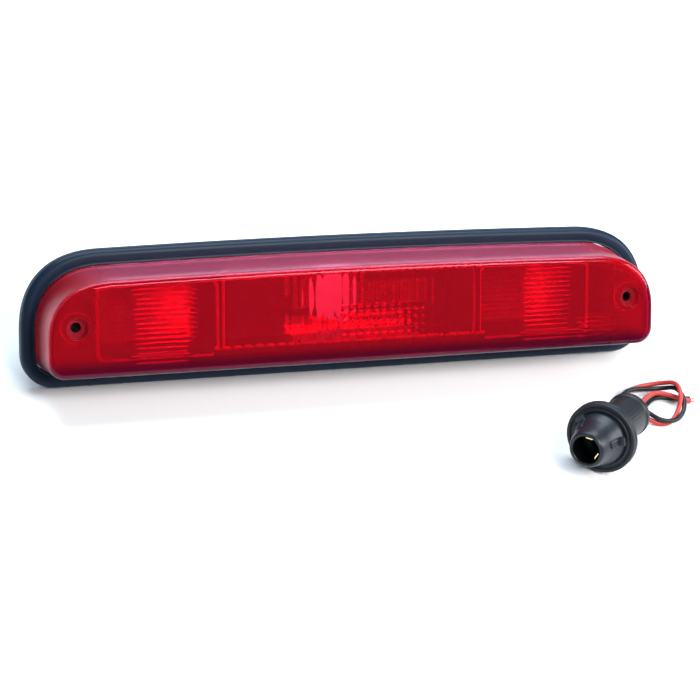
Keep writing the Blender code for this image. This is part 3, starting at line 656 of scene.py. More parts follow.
def brass_finish():
    """Stamped brass with fine scratches along it and darker tarnish."""
    finish = Finish("contact_brass", None, Metallic=1.0)
    scratch = finish.noise(900, 3, (6, 1, 1))
    tarnish = finish.noise(350, 3).step(0.5, 0.75)
    finish.set(
        Base_Color=finish.mix(tarnish * 0.5, (0.92, 0.72, 0.34, 1), (0.42, 0.27, 0.12, 1)),
        Roughness=0.18 + 0.2 * scratch,
    )
    finish.bump(scratch, 0.00002)
    return finish.material


def copper_finish():
    """Bare copper strands, dulled in their grooves."""
    finish = Finish("copper_strands", Metallic=1.0)
    dull = finish.noise(2500, 3)
    finish.set(
        Base_Color=finish.mix(dull, (0.93, 0.52, 0.34, 1), (0.55, 0.24, 0.14, 1)),
        Roughness=0.22 + 0.2 * dull,
    )
    return finish.material


def insulation_finish(name, colour):
    """Extruded insulation: faint die lines along the wire, scuffs and a waxy shine."""
    finish = Finish(name, "along", Specular_IOR_Level=0.3)
    lines = finish.noise(40, 2, (1, 0.05, 1))
    scuffs = finish.noise(700, 4, (0.01, 1, 1))
    worn = scuffs.step(0.55, 0.8)
    finish.set(
        Base_Color=finish.mix(worn * 0.35 + lines * 0.1, rgb(colour), rgb(colour, 1.5)),
        Roughness=0.34 + 0.12 * worn + 0.05 * lines,
    )
    finish.bump(lines, 0.00003)
    return finish.material


# Gasket


def build_gasket(sizes, colours):
    """Rings carried round the outline: a rounded front with a raised inner bead, and a flat back."""
    _, edge = panel_grid(columns(0.74, 150, 34), 26)
    depth, rounding = GASKET_DEPTH, sizes.gasket_round / MM
    arc = np.linspace(0, math.pi / 2, 12)
    outer = [(depth - 0.1, 0.25), (depth - 0.4, 0.0), (5.2, 0.0), (4.9, 0.28), (4.4, 0.28), (4.1, 0.0)]
    outer += zip(rounding * (1 - np.sin(arc)), rounding * (1 - np.cos(arc)))
    rows = [(y, np.full(3, inset)) for y, inset in outer]
    for y, share in ((0.0, 0.62), (0.25, 0.72), (0.25, 0.80), (0.0, 0.88), (0.12, 0.97), (0.5, 1.0)):
        rows.append((y, rounding + (GASKET_INSETS - rounding) * share))
    rows += [(y, GASKET_INSETS) for y in (2.0, 4.0, 6.0, depth - 0.2)]
    rows += [(depth, GASKET_INSETS - 0.2), (depth, np.full(3, 0.6))]
    skin = Skin()
    loops = [skin.add(lamp_panel(insets).ring(*edge, y)) for y, insets in rows]
    skin.band(loops, closed=True)
    finish = rubber_finish("gasket_rubber", colours.gasket, 0.38, dust=0.05, shine=0.17)
    mesh = skin.mesh("gasket", on_lamp, 50)
    show("gasket", mesh, "lamp", finish, "body_gasket")


# Lens


def lens_front(x, z, bulge):
    """y of the lens's outer face: furthest out in the middle, and back by the bulge at its edges.

    The drop is the bulge times one minus the product of one minus each squared share of the way out.
    """
    across = np.clip(x / FACE_HALF[0], -1, 1)
    up = np.clip((z - FACE_MIDDLE) / FACE_HALF[1], -1, 1)
    return -LENS_PROUD + bulge * (1 - (1 - across**2) * (1 - up**2))


def ribs(value, pitch):
    """Rounded ribs with sharp valleys, from 0 to 1: the size of the sine of half a turn for each pitch."""
    return np.abs(np.sin(math.pi * value / pitch))


def ramp(value, low, high):
    """0 below low, 1 above high, and three times the square less twice the cube between."""
    t = np.clip((value - low) / (high - low), 0, 1)
    return t * t * (3 - 2 * t)


def between(value, low, high, soft=1.0):
    """1 between low and high, and 0 outside them by more than soft."""
    return ramp(value, low - soft, low + soft) * (1 - ramp(value, high - soft, high + soft))


def about_fan(x, z):
    """Distance and angle of points from the fan centre of the upper corner on their side."""
    out_x, out_z = np.abs(x) - FAN_CENTRE[0], z - FAN_CENTRE[1]
    return np.hypot(out_x, out_z), np.arctan2(out_z, out_x)


def lens_relief(x, z, sizes):
    """How far the optics stand in from the lens's inner face.

    Upright ribs cover the middle, with rows of pillows in front of the bulb, level ribs cover each end
    bay, and fans of ribs turn round the upper corners.
    """
    height = sizes.rib_height / MM
    upright = height * ribs(x, sizes.upright_pitch / MM)
    level = height * ribs(z, sizes.level_pitch / MM)
    pillows = 1.6 * upright * ribs(z, PILLOW_PITCH)
    middle = between(x, -41, 71)
    bays = between(x, -134, -102) + between(x, 97, 127) + between(x, 129, 165) * between(z, -40, -8, 4)
    rows = between(x, -15, 36) * between(z, -13, 5)
    reach, swing = about_fan(x, z)
    fan = 0.35 * ribs(swing, math.radians(3.6)) * between(reach, 31, 46, 2) * between(swing, 0.7, 1.35, 0.1)
    return upright * middle * (1 - rows) + pillows * rows + level * bays + fan


def fluted_corners(points):
    """Moves a loop's points in, towards each upper corner's fan centre, by ribs that fan round it."""
    swing = about_fan(points[:, 0], points[:, 2])[1]
    height = 0.45 * ribs(swing, math.radians(3.2)) * between(swing, 0.45, 1.45, 0.08)
    moved = points.copy()
    moved[:, 0] -= np.sign(points[:, 0]) * np.cos(swing) * height
    moved[:, 2] -= np.sin(swing) * height
    return moved


def well_rings(theta, centre, bulge):
    """Rings from the lens's face down the screw well, through its hole and back up its cup's outside.

    Each has a radius and a y past its set's base. The first and last sets follow the lens's two faces.
    """
    sets = (
        (True, 0.0, ((7.8, 0.0), (6.6, 0.0), (6.05, 0.12), (5.8, 0.5))),
        (False, WELL_FLOOR, ((5.8, -0.6), (5.2, 0.0), (4.2, 0.0), (3.4, 0.0), (2.95, 0.3))),
        (False, WELL_FOOT, ((2.9, -0.4), (3.2, 0.0), (5.5, 0.0), (7.9, 0.0), (8.3, -0.4))),
        (True, LENS_WALL, ((8.3, 1.2), (8.6, 0.35), (9.4, 0.0))),
    )
    rings = []
    for on_face, base, steps in sets:
        for radius, y in steps:
            ring = ring_round(centre, theta, radius, y + base)
            if on_face:
                ring[:, 1] += lens_front(ring[:, 0], ring[:, 2], bulge)
            rings.append(ring)
    return rings


def lens_grid():
    """Shares along and up the lens: columns every 0.78 mm over the middle, and wider ones past them."""
    half = LENGTH / 2 - LENS_INSETS[0] - LENS_DRAFTS[0]
    even = np.concatenate((np.arange(0.39, 80, 0.78), np.arange(82, 136, 2.0))) / half
    corner = 0.752 + 0.248 * np.sin(np.linspace(0, math.pi / 2, 25)[1:])
    right = np.concatenate((even, corner))
    return panel_grid(np.concatenate((-right[::-1], right)), 98)


def lens_wall(skin, edge, face):
    """Loops from the rounded front edge back to the foot, then along the wall's inside to its front.

    Face is the y of the outer face round its edge.
    """
    front = face + LENS_EDGE
    rings = []
    for angle in np.linspace(math.pi / 2, 0, 8)[1:]:
        insets = LENS_INSETS + LENS_DRAFTS + LENS_EDGE * (1 - math.cos(angle)) + LENS_STEP
        rings.append((insets, face + LENS_EDGE * (1 - math.sin(angle))))
    for step, shares in ((LENS_STEP, (0.75, 0.5, 0.25, 0.14)), (0.0, (0.13, 0.115, 0.03))):
        for share in shares:
            insets = LENS_INSETS + share * LENS_DRAFTS + step
            rings.append((insets, LENS_FOOT + (front - LENS_FOOT) * share))
    rings += [(LENS_INSETS + 0.1, LENS_FOOT), (LENS_INSETS + LENS_WALL - 0.1, LENS_FOOT)]
    loops = [skin.add(lamp_panel(insets).ring(*edge, y)) for insets, y in rings]
    for share in (0.05, 0.4, 0.7, 0.92):
        insets = LENS_INSETS + share * LENS_DRAFTS + LENS_WALL
        ring = lamp_panel(insets).ring(*edge, LENS_FOOT + (front - LENS_FOOT) * share)
        loops.append(skin.add(fluted_corners(ring)))
    for inwards, rise in ((0.25, 0.9), (0.9, 0.35)):
        insets = LENS_INSETS + LENS_DRAFTS + LENS_WALL + inwards
        loops.append(skin.add(lamp_panel(insets).ring(*edge, face + LENS_WALL + rise)))
    return loops


def build_lens(sizes, colours):
    """A closed shell: ribbed inner face, crowned outer face, drafted walls and two screw wells."""
    bulge = sizes.lens_bulge / MM
    grids, edge = lens_grid()
    insets = LENS_INSETS + LENS_DRAFTS + LENS_EDGE
    front = lamp_panel(insets)
    skin = Skin()
    x, z = front.spread(*grids)
    outer = skin.add(np.stack((x, lens_front(x, z, bulge), z), -1))
    x_in, z_in = lamp_panel(insets + 0.5 * LENS_WALL).spread(*grids)
    y_in = lens_front(x_in, z_in, bulge) + LENS_WALL + lens_relief(x_in, z_in, sizes)
    inner = skin.add(np.stack((x_in, y_in, z_in), -1))
    centres = [(side * SCREW_X, 0.0) for side in (-1, 1)]
    windows = [window_round(x, z, (centre[0], 0.6), (11.0, 11.6)) for centre in centres]
    skin.sheet(outer, windows)
    skin.sheet(inner, windows)
    for centre, window in zip(centres, windows):
        cut = cut_out(window)
        rings = well_rings(bearing(x[cut], z[cut], centre), centre, bulge)
        skin.band([edge_of(outer[cut]), *map(skin.add, rings), edge_of(inner[cut])])
    face = lens_front(*front.spread(*edge), bulge)
    skin.band([edge_of(outer), *lens_wall(skin, edge, face), edge_of(inner)])
    mesh = skin.mesh("lens_shell", on_lamp, 30)
    show("lens_shell", mesh, "lamp", lens_finish(colours), "lens")


def build_sealant():
    """Loops round the outline, as a bead between the lens's foot and the housing's rim."""
    _, edge = panel_grid(columns(0.74, 90, 24), 16)
    low, high = LENS_FOOT + CLEAR, RIM_FRONT - CLEAR
    near, far = 0.55, 1.95
    rows = ((high, near), (low + 0.3, near - 0.1), (low, near + 0.3))
    rows += ((low, far - 0.3), (low + 0.3, far + 0.1), (high, far))
    skin = Skin()
    loops = [skin.add(lamp_panel(LENS_INSETS + inset).ring(*edge, y)) for y, inset in rows]
    skin.band(loops, closed=True)
    finish = rubber_finish("sealant_black", (0.012, 0.012, 0.012), 0.6)
    mesh = skin.mesh("sealant_bead", on_lamp)
    show("sealant_bead", mesh, "lamp", finish, "lens_sealant")


# Housing


def keyed_port(theta):
    """The bulb port's radius at each angle: a circle, or out to a notch between the notch's two sides."""
    radius = np.full_like(theta, PORT_RADIUS)
    for lug in range(3):
        off = theta - (math.pi - LUG_ANGLE - lug * TURN / 3)
        inside = (np.abs(np.sin(off)) * PORT_NOTCH < PORT_NOTCH_WIDTH / 2) & (np.cos(off) > 0)
        radius = np.where(inside, PORT_NOTCH, radius)
    return radius


def housing_holes():
    """Each hole's centre, its window's reach, the outline that its radii add to, and its (radius, y)."""
    floor = TUB_REAR - HOUSING_WALL
    port = ((1.6, TUB_REAR), (1.2, TUB_REAR), (0.0, TUB_REAR - 0.3), (0.0, floor))
    vent = ((VENT_HOLE, TUB_REAR), (VENT_HOLE, floor))
    boss = (
        (BOSS_BORE + 1.2, TUB_REAR),
        (BOSS_BORE + 0.3, TUB_REAR),
        (BOSS_BORE, TUB_REAR - 0.4),
        (BOSS_BORE, BOSS_FRONT + 0.3),
        (BOSS_BORE + 0.3, BOSS_FRONT),
        (BOSS_RADIUS - 0.4, BOSS_FRONT),
        (BOSS_RADIUS, BOSS_FRONT + 0.4),
        (BOSS_RADIUS, floor - 1.0),
        (BOSS_RADIUS + 0.6, floor),
    )
    return (
        ((0.0, 0.0), 20.0, keyed_port, port),
        ((-SCREW_X, 0.0), 10.5, np.zeros_like, boss),
        ((SCREW_X, 0.0), 10.5, np.zeros_like, boss),
        (VENT, 5.5, np.zeros_like, vent),
    )


def housing_section():
    """The tub's wall as (y, insets), from its rear face forward, over its rim and lip, and back inside."""
    lip = LENS_INSETS + LENS_WALL + CLEAR
    lip_inner = lip + LIP_WALL
    tub = np.full(3, TUB_INSET)
    drafted = tub + TUB_DRAFT
    wall = HOUSING_WALL
    return (
        (TUB_REAR - 0.35, drafted + 0.5),
        (TUB_REAR - 1.5, drafted),
        (28.0, drafted - 0.3),
        (18.0, drafted - 0.6),
        (GASKET_DEPTH + 1.2, tub),
        (GASKET_DEPTH, tub - 1.0),
        (GASKET_DEPTH, LENS_INSETS + 0.2),
        (GASKET_DEPTH - 0.2, LENS_INSETS),
        (RIM_FRONT + 0.2, LENS_INSETS),
        (RIM_FRONT, LENS_INSETS + 0.2),
        (RIM_FRONT, lip - 0.1),
        (LIP_FRONT + 0.2, lip),
        (LIP_FRONT, lip + 0.2),
        (LIP_FRONT, lip_inner - 0.2),
        (LIP_FRONT + 0.2, lip_inner),
        (RIM_FRONT - 1.0, lip_inner),
        (RIM_FRONT + wall, tub + wall),
        (20.0, tub + wall + 0.5),
        (TUB_REAR - wall - 1.0, drafted + wall),
        (TUB_REAR - wall - 0.2, drafted + wall + 0.4),
    )


def build_housing(colours):
    """A tub lofted through loops of the outline, with bosses, ribs, a keyed port and a vent hole."""
    grids, edge = panel_grid(columns(0.76, 190, 26), 44)
    drafted = np.full(3, TUB_INSET + TUB_DRAFT)
    skin = Skin()
    x, z = lamp_panel(drafted + 1.5).spread(*grids)
    rear = skin.add(np.stack((x, np.full_like(x, TUB_REAR), z), -1))
    x_in, z_in = lamp_panel(drafted + HOUSING_WALL + 1.0).spread(*grids)
    floor = skin.add(np.stack((x_in, np.full_like(x_in, TUB_REAR - HOUSING_WALL), z_in), -1))
    holes = housing_holes()
    windows = [window_round(x, z, centre, (reach, reach)) for centre, reach, _, _ in holes]
    skin.sheet(rear, windows)
    skin.sheet(floor, windows)
    for (centre, _, outline, steps), window in zip(holes, windows):
        cut = cut_out(window)
        theta = bearing(x[cut], z[cut], centre)
        rings = [ring_round(centre, theta, radius + outline(theta), y) for radius, y in steps]
        skin.band([edge_of(rear[cut]), *map(skin.add, rings), edge_of(floor[cut])])
    loops = [skin.add(lamp_panel(insets).ring(*edge, y)) for y, insets in housing_section()]
    skin.band([edge_of(rear), *loops, edge_of(floor)])
    rib = np.array((0.9, 13.0, 1.6))
    for x_rib in np.arange(-135.0, 136.0, 30.0):
        centre = np.array((x_rib, 22.0, HEIGHT / 2 - TUB_INSET - rib[2]))
        lozenge(skin, centre, np.eye(3), rib, 0.2, 8)
    finish = moulded_finish("housing_plastic", colours.housing, 0.5)
    mesh = skin.mesh("housing_tub", on_lamp, 35)
    show("housing_tub", mesh, "lamp", finish, "housing")


# Reflectors


def bowl_panel(bowl, y, inset=0.0):
    """The bowl's section at depth y: between its mouth and its back, drawn in by inset."""
    share = (y - REFLECTOR_FRONT) / (REFLECTOR_BACK - REFLECTOR_FRONT)
    half = bowl["half"][0] + (bowl["half"][1] - bowl["half"][0]) * share - inset
    low = -25.0 + 6.0 * share + inset
    top = bowl["top"] - 6.0 * share - inset
    return Panel(half, low, top, 5.0 - inset / 2, (5.0 - inset / 2,) * 2, 0.0, bowl["centre"])


def build_bowl(name, bowl, relief, shade, counts, hole=None):
    """An open bowl: its floor's relief is a function of x and z, and its walls are lofted from loops."""
    grids, edge = panel_grid(columns(0.86, counts[0], 7), counts[1])
    depth, back, front = bowl["floor"], bowl["back"], REFLECTOR_FRONT
    skin = Skin()
    x, z = bowl_panel(bowl, depth, REFLECTOR_WALL + 0.8).spread(*grids)
    floor = skin.add(np.stack((x, depth + relief(x, z), z), -1))
    x_back, z_back = bowl_panel(bowl, back, 0.8).spread(*grids)
    rear = skin.add(np.stack((x_back, np.full_like(x_back, back), z_back), -1))
    windows = []
    if hole is not None:
        middle = (0.0, 0.0)
        windows.append(window_round(x, z, middle, (hole + 1.5, hole + 0.8)))
        cut = cut_out(windows[0])
        theta = bearing(x[cut], z[cut], middle)
        steps = ((hole + 0.5, depth - 0.3), (hole, depth), (hole, back - 0.2), (hole + 0.2, back))
        rings = [ring_round(middle, theta, radius, y) for radius, y in steps]
        skin.band([edge_of(floor[cut]), *map(skin.add, rings), edge_of(rear[cut])])
    skin.sheet(floor, windows)
    skin.sheet(rear, windows)
    section = [(depth - 0.25, REFLECTOR_WALL + 0.2), (depth - 0.9, REFLECTOR_WALL)]
    section += [(y, REFLECTOR_WALL) for y in np.linspace(depth - 3, front + 1, 5)]
    section += [(front + 0.2, REFLECTOR_WALL - 0.15), (front, REFLECTOR_WALL - 0.5)]
    section += [(front, 0.5), (front + 0.2, 0.15), (front + 1, 0.0)]
    section += [(y, 0.0) for y in np.linspace(front + 8, back - 0.8, 3)] + [(back - 0.2, 0.3)]
    loops = [skin.add(bowl_panel(bowl, y, inset).ring(*edge, y)) for y, inset in section]
    skin.band([edge_of(floor), *loops, edge_of(rear)])
    # shade paints light and shade into the bowl's colour.
    finish = mirror_finish(f"{name}_metallising", shade)
    mesh = skin.mesh(f"{name}_bowl", on_lamp, 30)
    show(f"{name}_bowl", mesh, "lamp", finish, f"{name}_reflector")


def centre_relief(x, z):
    """Upright flutes across the floor, and one raised rib in the plain stretch that they leave."""
    flutes = -0.55 * ribs(x, UPRIGHT_PITCH) * (1 - between(x, -31, -23, 0.5))
    rib = -2.2 * between(x, -28.2, -26.8, 0.35) * between(z, 2, 16, 0.6)
    return flutes + rib


def side_relief(x, z):
    """Level flutes across the floor."""
    return -0.5 * ribs(z, LEVEL_PITCH)


def centre_shade(x, y, z):
    """Painted light and shade for the centre bowl: bright round the bulb's hole and to its right, and darker
    towards both ends and low down.
    """
    # Painted light: a bright block round the hole, pillow highlights, a beaded bright band and a bright line
    # on the rib.
    block = x.within(-0.024, 0.018, 0.0008) * z.step(-0.009, -0.005)
    pillows = x.within(0.014, 0.060, 0.004) * z.within(-0.008, 0.008, 0.0015) * x.ribs(UPRIGHT_PITCH * MM)
    beads = 0.45 + 0.35 * x.ribs(2 * UPRIGHT_PITCH * MM)
    lower = x.within(-0.026, 0.046, 0.002) * (1 - z.step(-0.012, -0.010)) * beads
    rib = x.within(-0.0298, -0.0272, 0.0003) * (1 - z.within(-0.010, 0.001, 0.001))
    return 0.10 + 0.75 * block + 1.0 * pillows + 1.2 * lower + 0.9 * rib


def side_shade(start, full):
    """Makes the painted light and shade for a side bay: its floor is painted brighter from start to full,
    most on the flutes' crests.
    """

    def shade(x, y, z):
        floor = y.step(0.0160, 0.0180)
        crest = z.ribs(LEVEL_PITCH * MM)
        # Painted highlights on the flutes' crests, brighter from start to full.
        return 0.05 * floor + 0.02 + 0.75 * x.step(start, full) * floor * crest * crest

    return shade


def build_strip(sizes, colours):
    """A bar with a row of beads along its upper edge. Its face and top sink in between the beads.

    A bead's outline is the square root of half a sine.
    """
    half, low, top, back, front = 82.0, -25.0, -19.0, -7.3, -9.7
    x = np.linspace(-half, half, 520)
    profile = filleted(((back, low), (front, low), (front, top), (back, top)), 0.8, 6)
    y, z = profile.T
    valley = 1 - np.sqrt(ribs(x, sizes.bead_pitch / MM))[:, None]
    y_sunk = np.where(y < back - 0.8, y + 1.8 * valley * ramp(z, -23.4, -20.4), y)
    z_sunk = z - 2.0 * valley * ramp(z, -21.0, -19.2)
    skin = Skin()
    rows = skin.add(np.stack((x[:, None] * np.ones(len(profile)), y_sunk, z_sunk), -1))
    skin.band(rows)
    skin.cap(rows[0], (-half, (back + front) / 2, (low + top) / 2))
    skin.cap(rows[-1], (half, (back + front) / 2, (low + top) / 2))
    finish = Finish("bead_plastic", IOR=1.49, Specular_IOR_Level=0.6)
    depth = finish.noise(300, 3)
    # Painted highlight on the beads' crests, painted shade on the bar below them.
    crest = finish.axes()[2].step(-0.0212, -0.0196)
    finish.set(
        Base_Color=finish.mix(crest, rgb(colours.bar_painted_shade), rgb(colours.bead)),
        Roughness=0.16 + 0.1 * depth,
    )
    finish.bump(depth, 0.00004)
    mesh = skin.mesh("bead_bar", on_lamp, 40)
    show("bead_bar", mesh, "lamp", finish.material, "bead_strip")


def build_small_rubber():
    """The vent's mushroom, as a turned profile, and a rubber finish on the well seals."""
    seat, inside = TUB_REAR + CLEAR, TUB_REAR - HOUSING_WALL
    stem = VENT_HOLE - CLEAR
    profile = (
        (0.9, seat + 2.2),
        (2.6, seat + 2.2),
        (4.4, seat + 1.6),
        (5.0, seat + 0.8),
        (4.9, seat),
        (stem, seat),
        (stem, inside - 0.3),
        (1.9, inside - 1),
        (0.9, inside - 1),
    )
    skin = turned(filleted(profile, 0.5), 40)
    across, up, out = np.vstack(skin.points).T
    skin.points = [np.stack((across + VENT[0], out, VENT[1] - up), -1)]
    finish = rubber_finish("vent_rubber", (0.02, 0.02, 0.021), 0.5)
    mesh = skin.mesh("vent_mushroom", on_lamp, 40)
    show("vent_mushroom", mesh, "lamp", finish, "vent_plug")
    seal = rubber_finish("well_seal_rubber", (0.018, 0.018, 0.018), 0.6, attribute=None)
    dress("left_well_seal", seal)
    dress("right_well_seal", seal)


# Socket


def build_socket_shell(colours):
    """Turned holder with a stepped bore, and three bayonet lugs with a stiffening web behind each."""
    front, rear = -SEAL_THICK - CLEAR, -SEAL_THICK - FLANGE_THICK
    profile = (
        (NOSE_RIM - 0.2, NOSE_LENGTH),
        (NOSE_RIM + 0.6, NOSE_LENGTH - 0.9),
        (NOSE_RIM + 1.5, NOSE_LENGTH - 4.2),
        (NOSE_RIM + 2.4, 11.0),
        (CONE_RADIUS - 2.2, 7.0),
        (CONE_RADIUS - 0.9, 4.0),
        (CONE_RADIUS - 0.1, 1.8),
        (CONE_RADIUS, 0.5),
        (CONE_RADIUS, front),
        (FLANGE_RADIUS, front),
        (FLANGE_RADIUS, rear),
        (FLANGE_RADIUS - 2.6, rear),
        (FLANGE_RADIUS - 3.1, rear + 0.7),
        (NECK_RADIUS + 2.2, rear + 0.7),
        (NECK_RADIUS + 0.4, rear - 0.2),
        (NECK_RADIUS, rear - 1.4),
        (NECK_RADIUS, -NECK_END),
        (WIRE_BORE, -NECK_END),
        (WIRE_BORE, -BORE_DEPTH),
        (MOUTH_RADIUS, -BORE_DEPTH),
        (MOUTH_RADIUS, NOSE_LENGTH - 0.5),
        (MOUTH_RADIUS + 0.5, NOSE_LENGTH),
    )
    skin = turned(filleted(profile, 0.9, 5), 128)
    for index in range(3):
        angle = LUG_ANGLE + index * TURN / 3
        out = np.array((math.cos(angle), math.sin(angle), 0))
        around = np.array((-math.sin(angle), math.cos(angle), 0))
        lug = np.array((out, around, (0, 0, 1)))
        web = np.array(((*(0.96 * out[:2]), 0.28), around, (*(-0.28 * out[:2]), 0.96)))
        lug_middle = out * (CONE_RADIUS - 0.35) + (0, 0, 4.7)
        web_middle = out * (CONE_RADIUS - 2.35) + (0, 0, 8.2)
        lozenge(skin, lug_middle, lug, np.array((2.25, 2.5, 1.5)), 0.22)
        lozenge(skin, web_middle, web, np.array((0.8, 2.4, 4.4)), 0.42)
    # The mouth's inside is painted near black as painted shade.
    finish = moulded_finish("socket_plastic", colours.socket, 0.36, 900, 0.00005, bore=MOUTH_RADIUS * MM)
    mesh = skin.mesh("socket_shell", on_socket, 40)
    show("socket_shell", mesh, "bulb_socket", finish, "socket_body")


def build_socket_seal(colours):
    """Turned ring with a lip round its edge and a groove in its face."""
    inner = CONE_RADIUS + CLEAR
    groove = 0.86 * FLANGE_RADIUS
    profile = (
        (FLANGE_RADIUS - 0.5, 0.0),
        (FLANGE_RADIUS, -0.7),
        (FLANGE_RADIUS - 0.15, -1.5),
        (FLANGE_RADIUS, -2.1),
        (FLANGE_RADIUS - 0.2, -SEAL_THICK),
        (inner, -SEAL_THICK),
        (inner, -0.2),
        (inner + 0.4, 0.0),
        (groove - 0.8, 0.0),
        (groove - 0.35, -0.75),
        (groove + 0.35, -0.75),
        (groove + 0.8, 0.0),
    )
    skin = turned(filleted(profile, 0.5, 5), 128)
    finish = rubber_finish("socket_seal_rubber", colours.seal, 0.5)
    mesh = skin.mesh("seal_ring", on_socket, 40)
    show("seal_ring", mesh, "bulb_socket", finish, "socket_seal")


def build_boot(colours):
    """Turned cap with shallow ribs along it, a grip ring at its front and a rounded glossy rear edge."""
    waist, end = BOOT_RADIUS - 0.8, -BOOT_END
    profile = (
        (BOOT_RADIUS - 0.5, -BOOT_START),
        (BOOT_RADIUS, -BOOT_START - 0.7),
        (BOOT_RADIUS, -BOOT_START - 2.2),
        (waist, -BOOT_START - 2.9),
        (waist, -22.0),
        (waist, -30.0),
        (waist, end + 6.8),
        (BOOT_RADIUS, end + 5.6),
        (BOOT_RADIUS, end + 3.4),
        (BOOT_RADIUS - 1.0, end + 1.5),
        (BOOT_RADIUS - 3.2, end + 0.3),
        (WIRE_HOLE + 2.6, end + 0.3),
        (WIRE_HOLE + 1.2, end),
        (WIRE_HOLE, end + 0.3),
        (WIRE_HOLE, -NECK_END - CLEAR),
        (NECK_RADIUS + CLEAR, -NECK_END - CLEAR),
        (NECK_RADIUS + CLEAR, -BOOT_START),
    )

    def swell(angle, height, radius):
        along = between(height, end + 7.5, -BOOT_START - 3.6, 0.6)
        outer = ramp(radius, NECK_RADIUS + 1.2, NECK_RADIUS + 1.5)
        return 1 + 0.012 * along * outer * (ribs(angle, TURN / 36) ** 0.5 - 0.4)

    skin = turned(filleted(profile, 1.1, 6), 224, swell)
    finish = rubber_finish("boot_rubber", colours.boot, 0.40, 0.00005, 0.05)
    mesh = skin.mesh("boot_cap", on_socket, 45)
    show("boot_cap", mesh, "bulb_socket", finish, "rear_boot")


def dress_contacts():
    """Brass on both contacts and dark plastic on their carrier, which keep their frame shapes."""
    brass = brass_finish()
    dark = moulded_finish("carrier_plastic", (0.01, 0.01, 0.011), 0.45, attribute=None)
    dress("red_side_contact", brass)
    dress("black_side_contact", brass)
    dress("contact_carrier", dark)


# Wires


def distance_along(path):
    """How far each point is along a path."""
    return np.concatenate(((0,), np.cumsum(np.linalg.norm(np.diff(path, axis=0), axis=1))))


def smooth_route(points, count):
    """Even steps along the cubic curve whose slope at each point is half the step between its neighbours."""
    points = np.asarray(points)
    padded = np.vstack((2 * points[0] - points[1], points, 2 * points[-1] - points[-2]))
    a, b, c, d = (padded[k : len(padded) - 3 + k][:, None] for k in range(4))
    t = np.linspace(0, 1, 24, endpoint=False)[None, :, None]
    fine = 0.5 * (2 * b + (c - a) * t + (2 * a - 5 * b + 4 * c - d) * t**2 + (3 * b - a - 3 * c + d) * t**3)
    fine = np.vstack((fine.reshape(-1, 3), points[-1:]))
    reach = distance_along(fine)
    wanted = np.linspace(0, reach[-1], count)
    return np.stack([np.interp(wanted, reach, fine[:, k]) for k in range(3)], -1)


def frames_along(path):
    """A level side vector and an upward one, both square to the path, at each of its points."""
    ahead = np.gradient(path, axis=0)
    side = np.cross((0, 0, 1), ahead)
    side /= np.linalg.norm(side, axis=1)[:, None]
    up = np.cross(ahead, side)
    up /= np.linalg.norm(up, axis=1)[:, None]
    return side, up


def wire_path(index, count):
    """One wire's centreline in metres: straight back from its crimp, then turning about the pair's middle."""
    route = [WIRE_EXIT + SOCKET_TURN[:, 2] * (BOOT_END - NECK_END) * MM, WIRE_EXIT]
    middle = smooth_route([*route, *(np.array(point) for point in PAIR_ROUTE)], count)
    side, up = frames_along(middle)
    phase = PAIR_PHASE + math.pi * index + TURN * PAIR_TWISTS * np.linspace(0, 1, count)[:, None]
    pair = middle + PAIR_HALF * MM * (np.cos(phase) * side + np.sin(phase) * up)
    angle = CONTACT_ANGLES[index]
    crimp = np.array((CRIMP_RADIUS * math.cos(angle), CRIMP_RADIUS * math.sin(angle), 0))
    behind = [crimp - (0, 0, CRIMP_REAR + back) for back in (CLEAR, WIRE_STRAIGHT)]
    points = np.vstack((on_socket(behind), pair))
    return smooth_route(points, count)


def tube(skin, path, radius, sides):
    """Adds a round tube along a path to a skin, with each end closed."""
    side, up = frames_along(path)
    angle = np.arange(sides) * TURN / sides
    around = np.cos(angle)[None, :, None] * side[:, None] + np.sin(angle)[None, :, None] * up[:, None]
    rows = skin.add(path[:, None] + radius * around)
    skin.band(rows)
    skin.cap(rows[0], path[0])
    skin.cap(rows[-1], path[-1])


def mark_along(mesh, along, sides):
    """Attribute "along" on a wire: across it on X and Z, and metres from its start on Y."""
    angle = np.arange(sides) * TURN / sides
    round_x, metres = np.meshgrid(np.cos(angle), along)
    round_z, _ = np.meshgrid(np.sin(angle), along)
    marks = np.stack((round_x, metres, round_z), -1).reshape(-1, 3)
    ends = ((0, 0, 0), (0, along[-1], 0))
    attribute = mesh.attributes.new("along", "FLOAT_VECTOR", "POINT")
    attribute.data.foreach_set("vector", np.vstack((marks, ends)).ravel())


def build_wires(colours):
    """Two insulated wires as tubes along their paths, each with seven twisted strands at its bare end."""
    copper = copper_finish()
    names = (("red", colours.wire), ("black", (0.006, 0.006, 0.007)))
    for index, (name, colour) in enumerate(names):
        path = wire_path(index, WIRE_POINTS)
        along = distance_along(path)
        skin = Skin()
        tube(skin, path, WIRE_RADIUS * MM, WIRE_SIDES)
        mesh = skin.mesh(f"{name}_lead", in_metres, 60)
        mark_along(mesh, along, WIRE_SIDES)
        finish = insulation_finish(f"{name}_insulation", colour)
        lead = show(f"{name}_lead", mesh, "bulb_socket", finish, f"{name}_wire")
        strands = build_strands(name, path, copper)


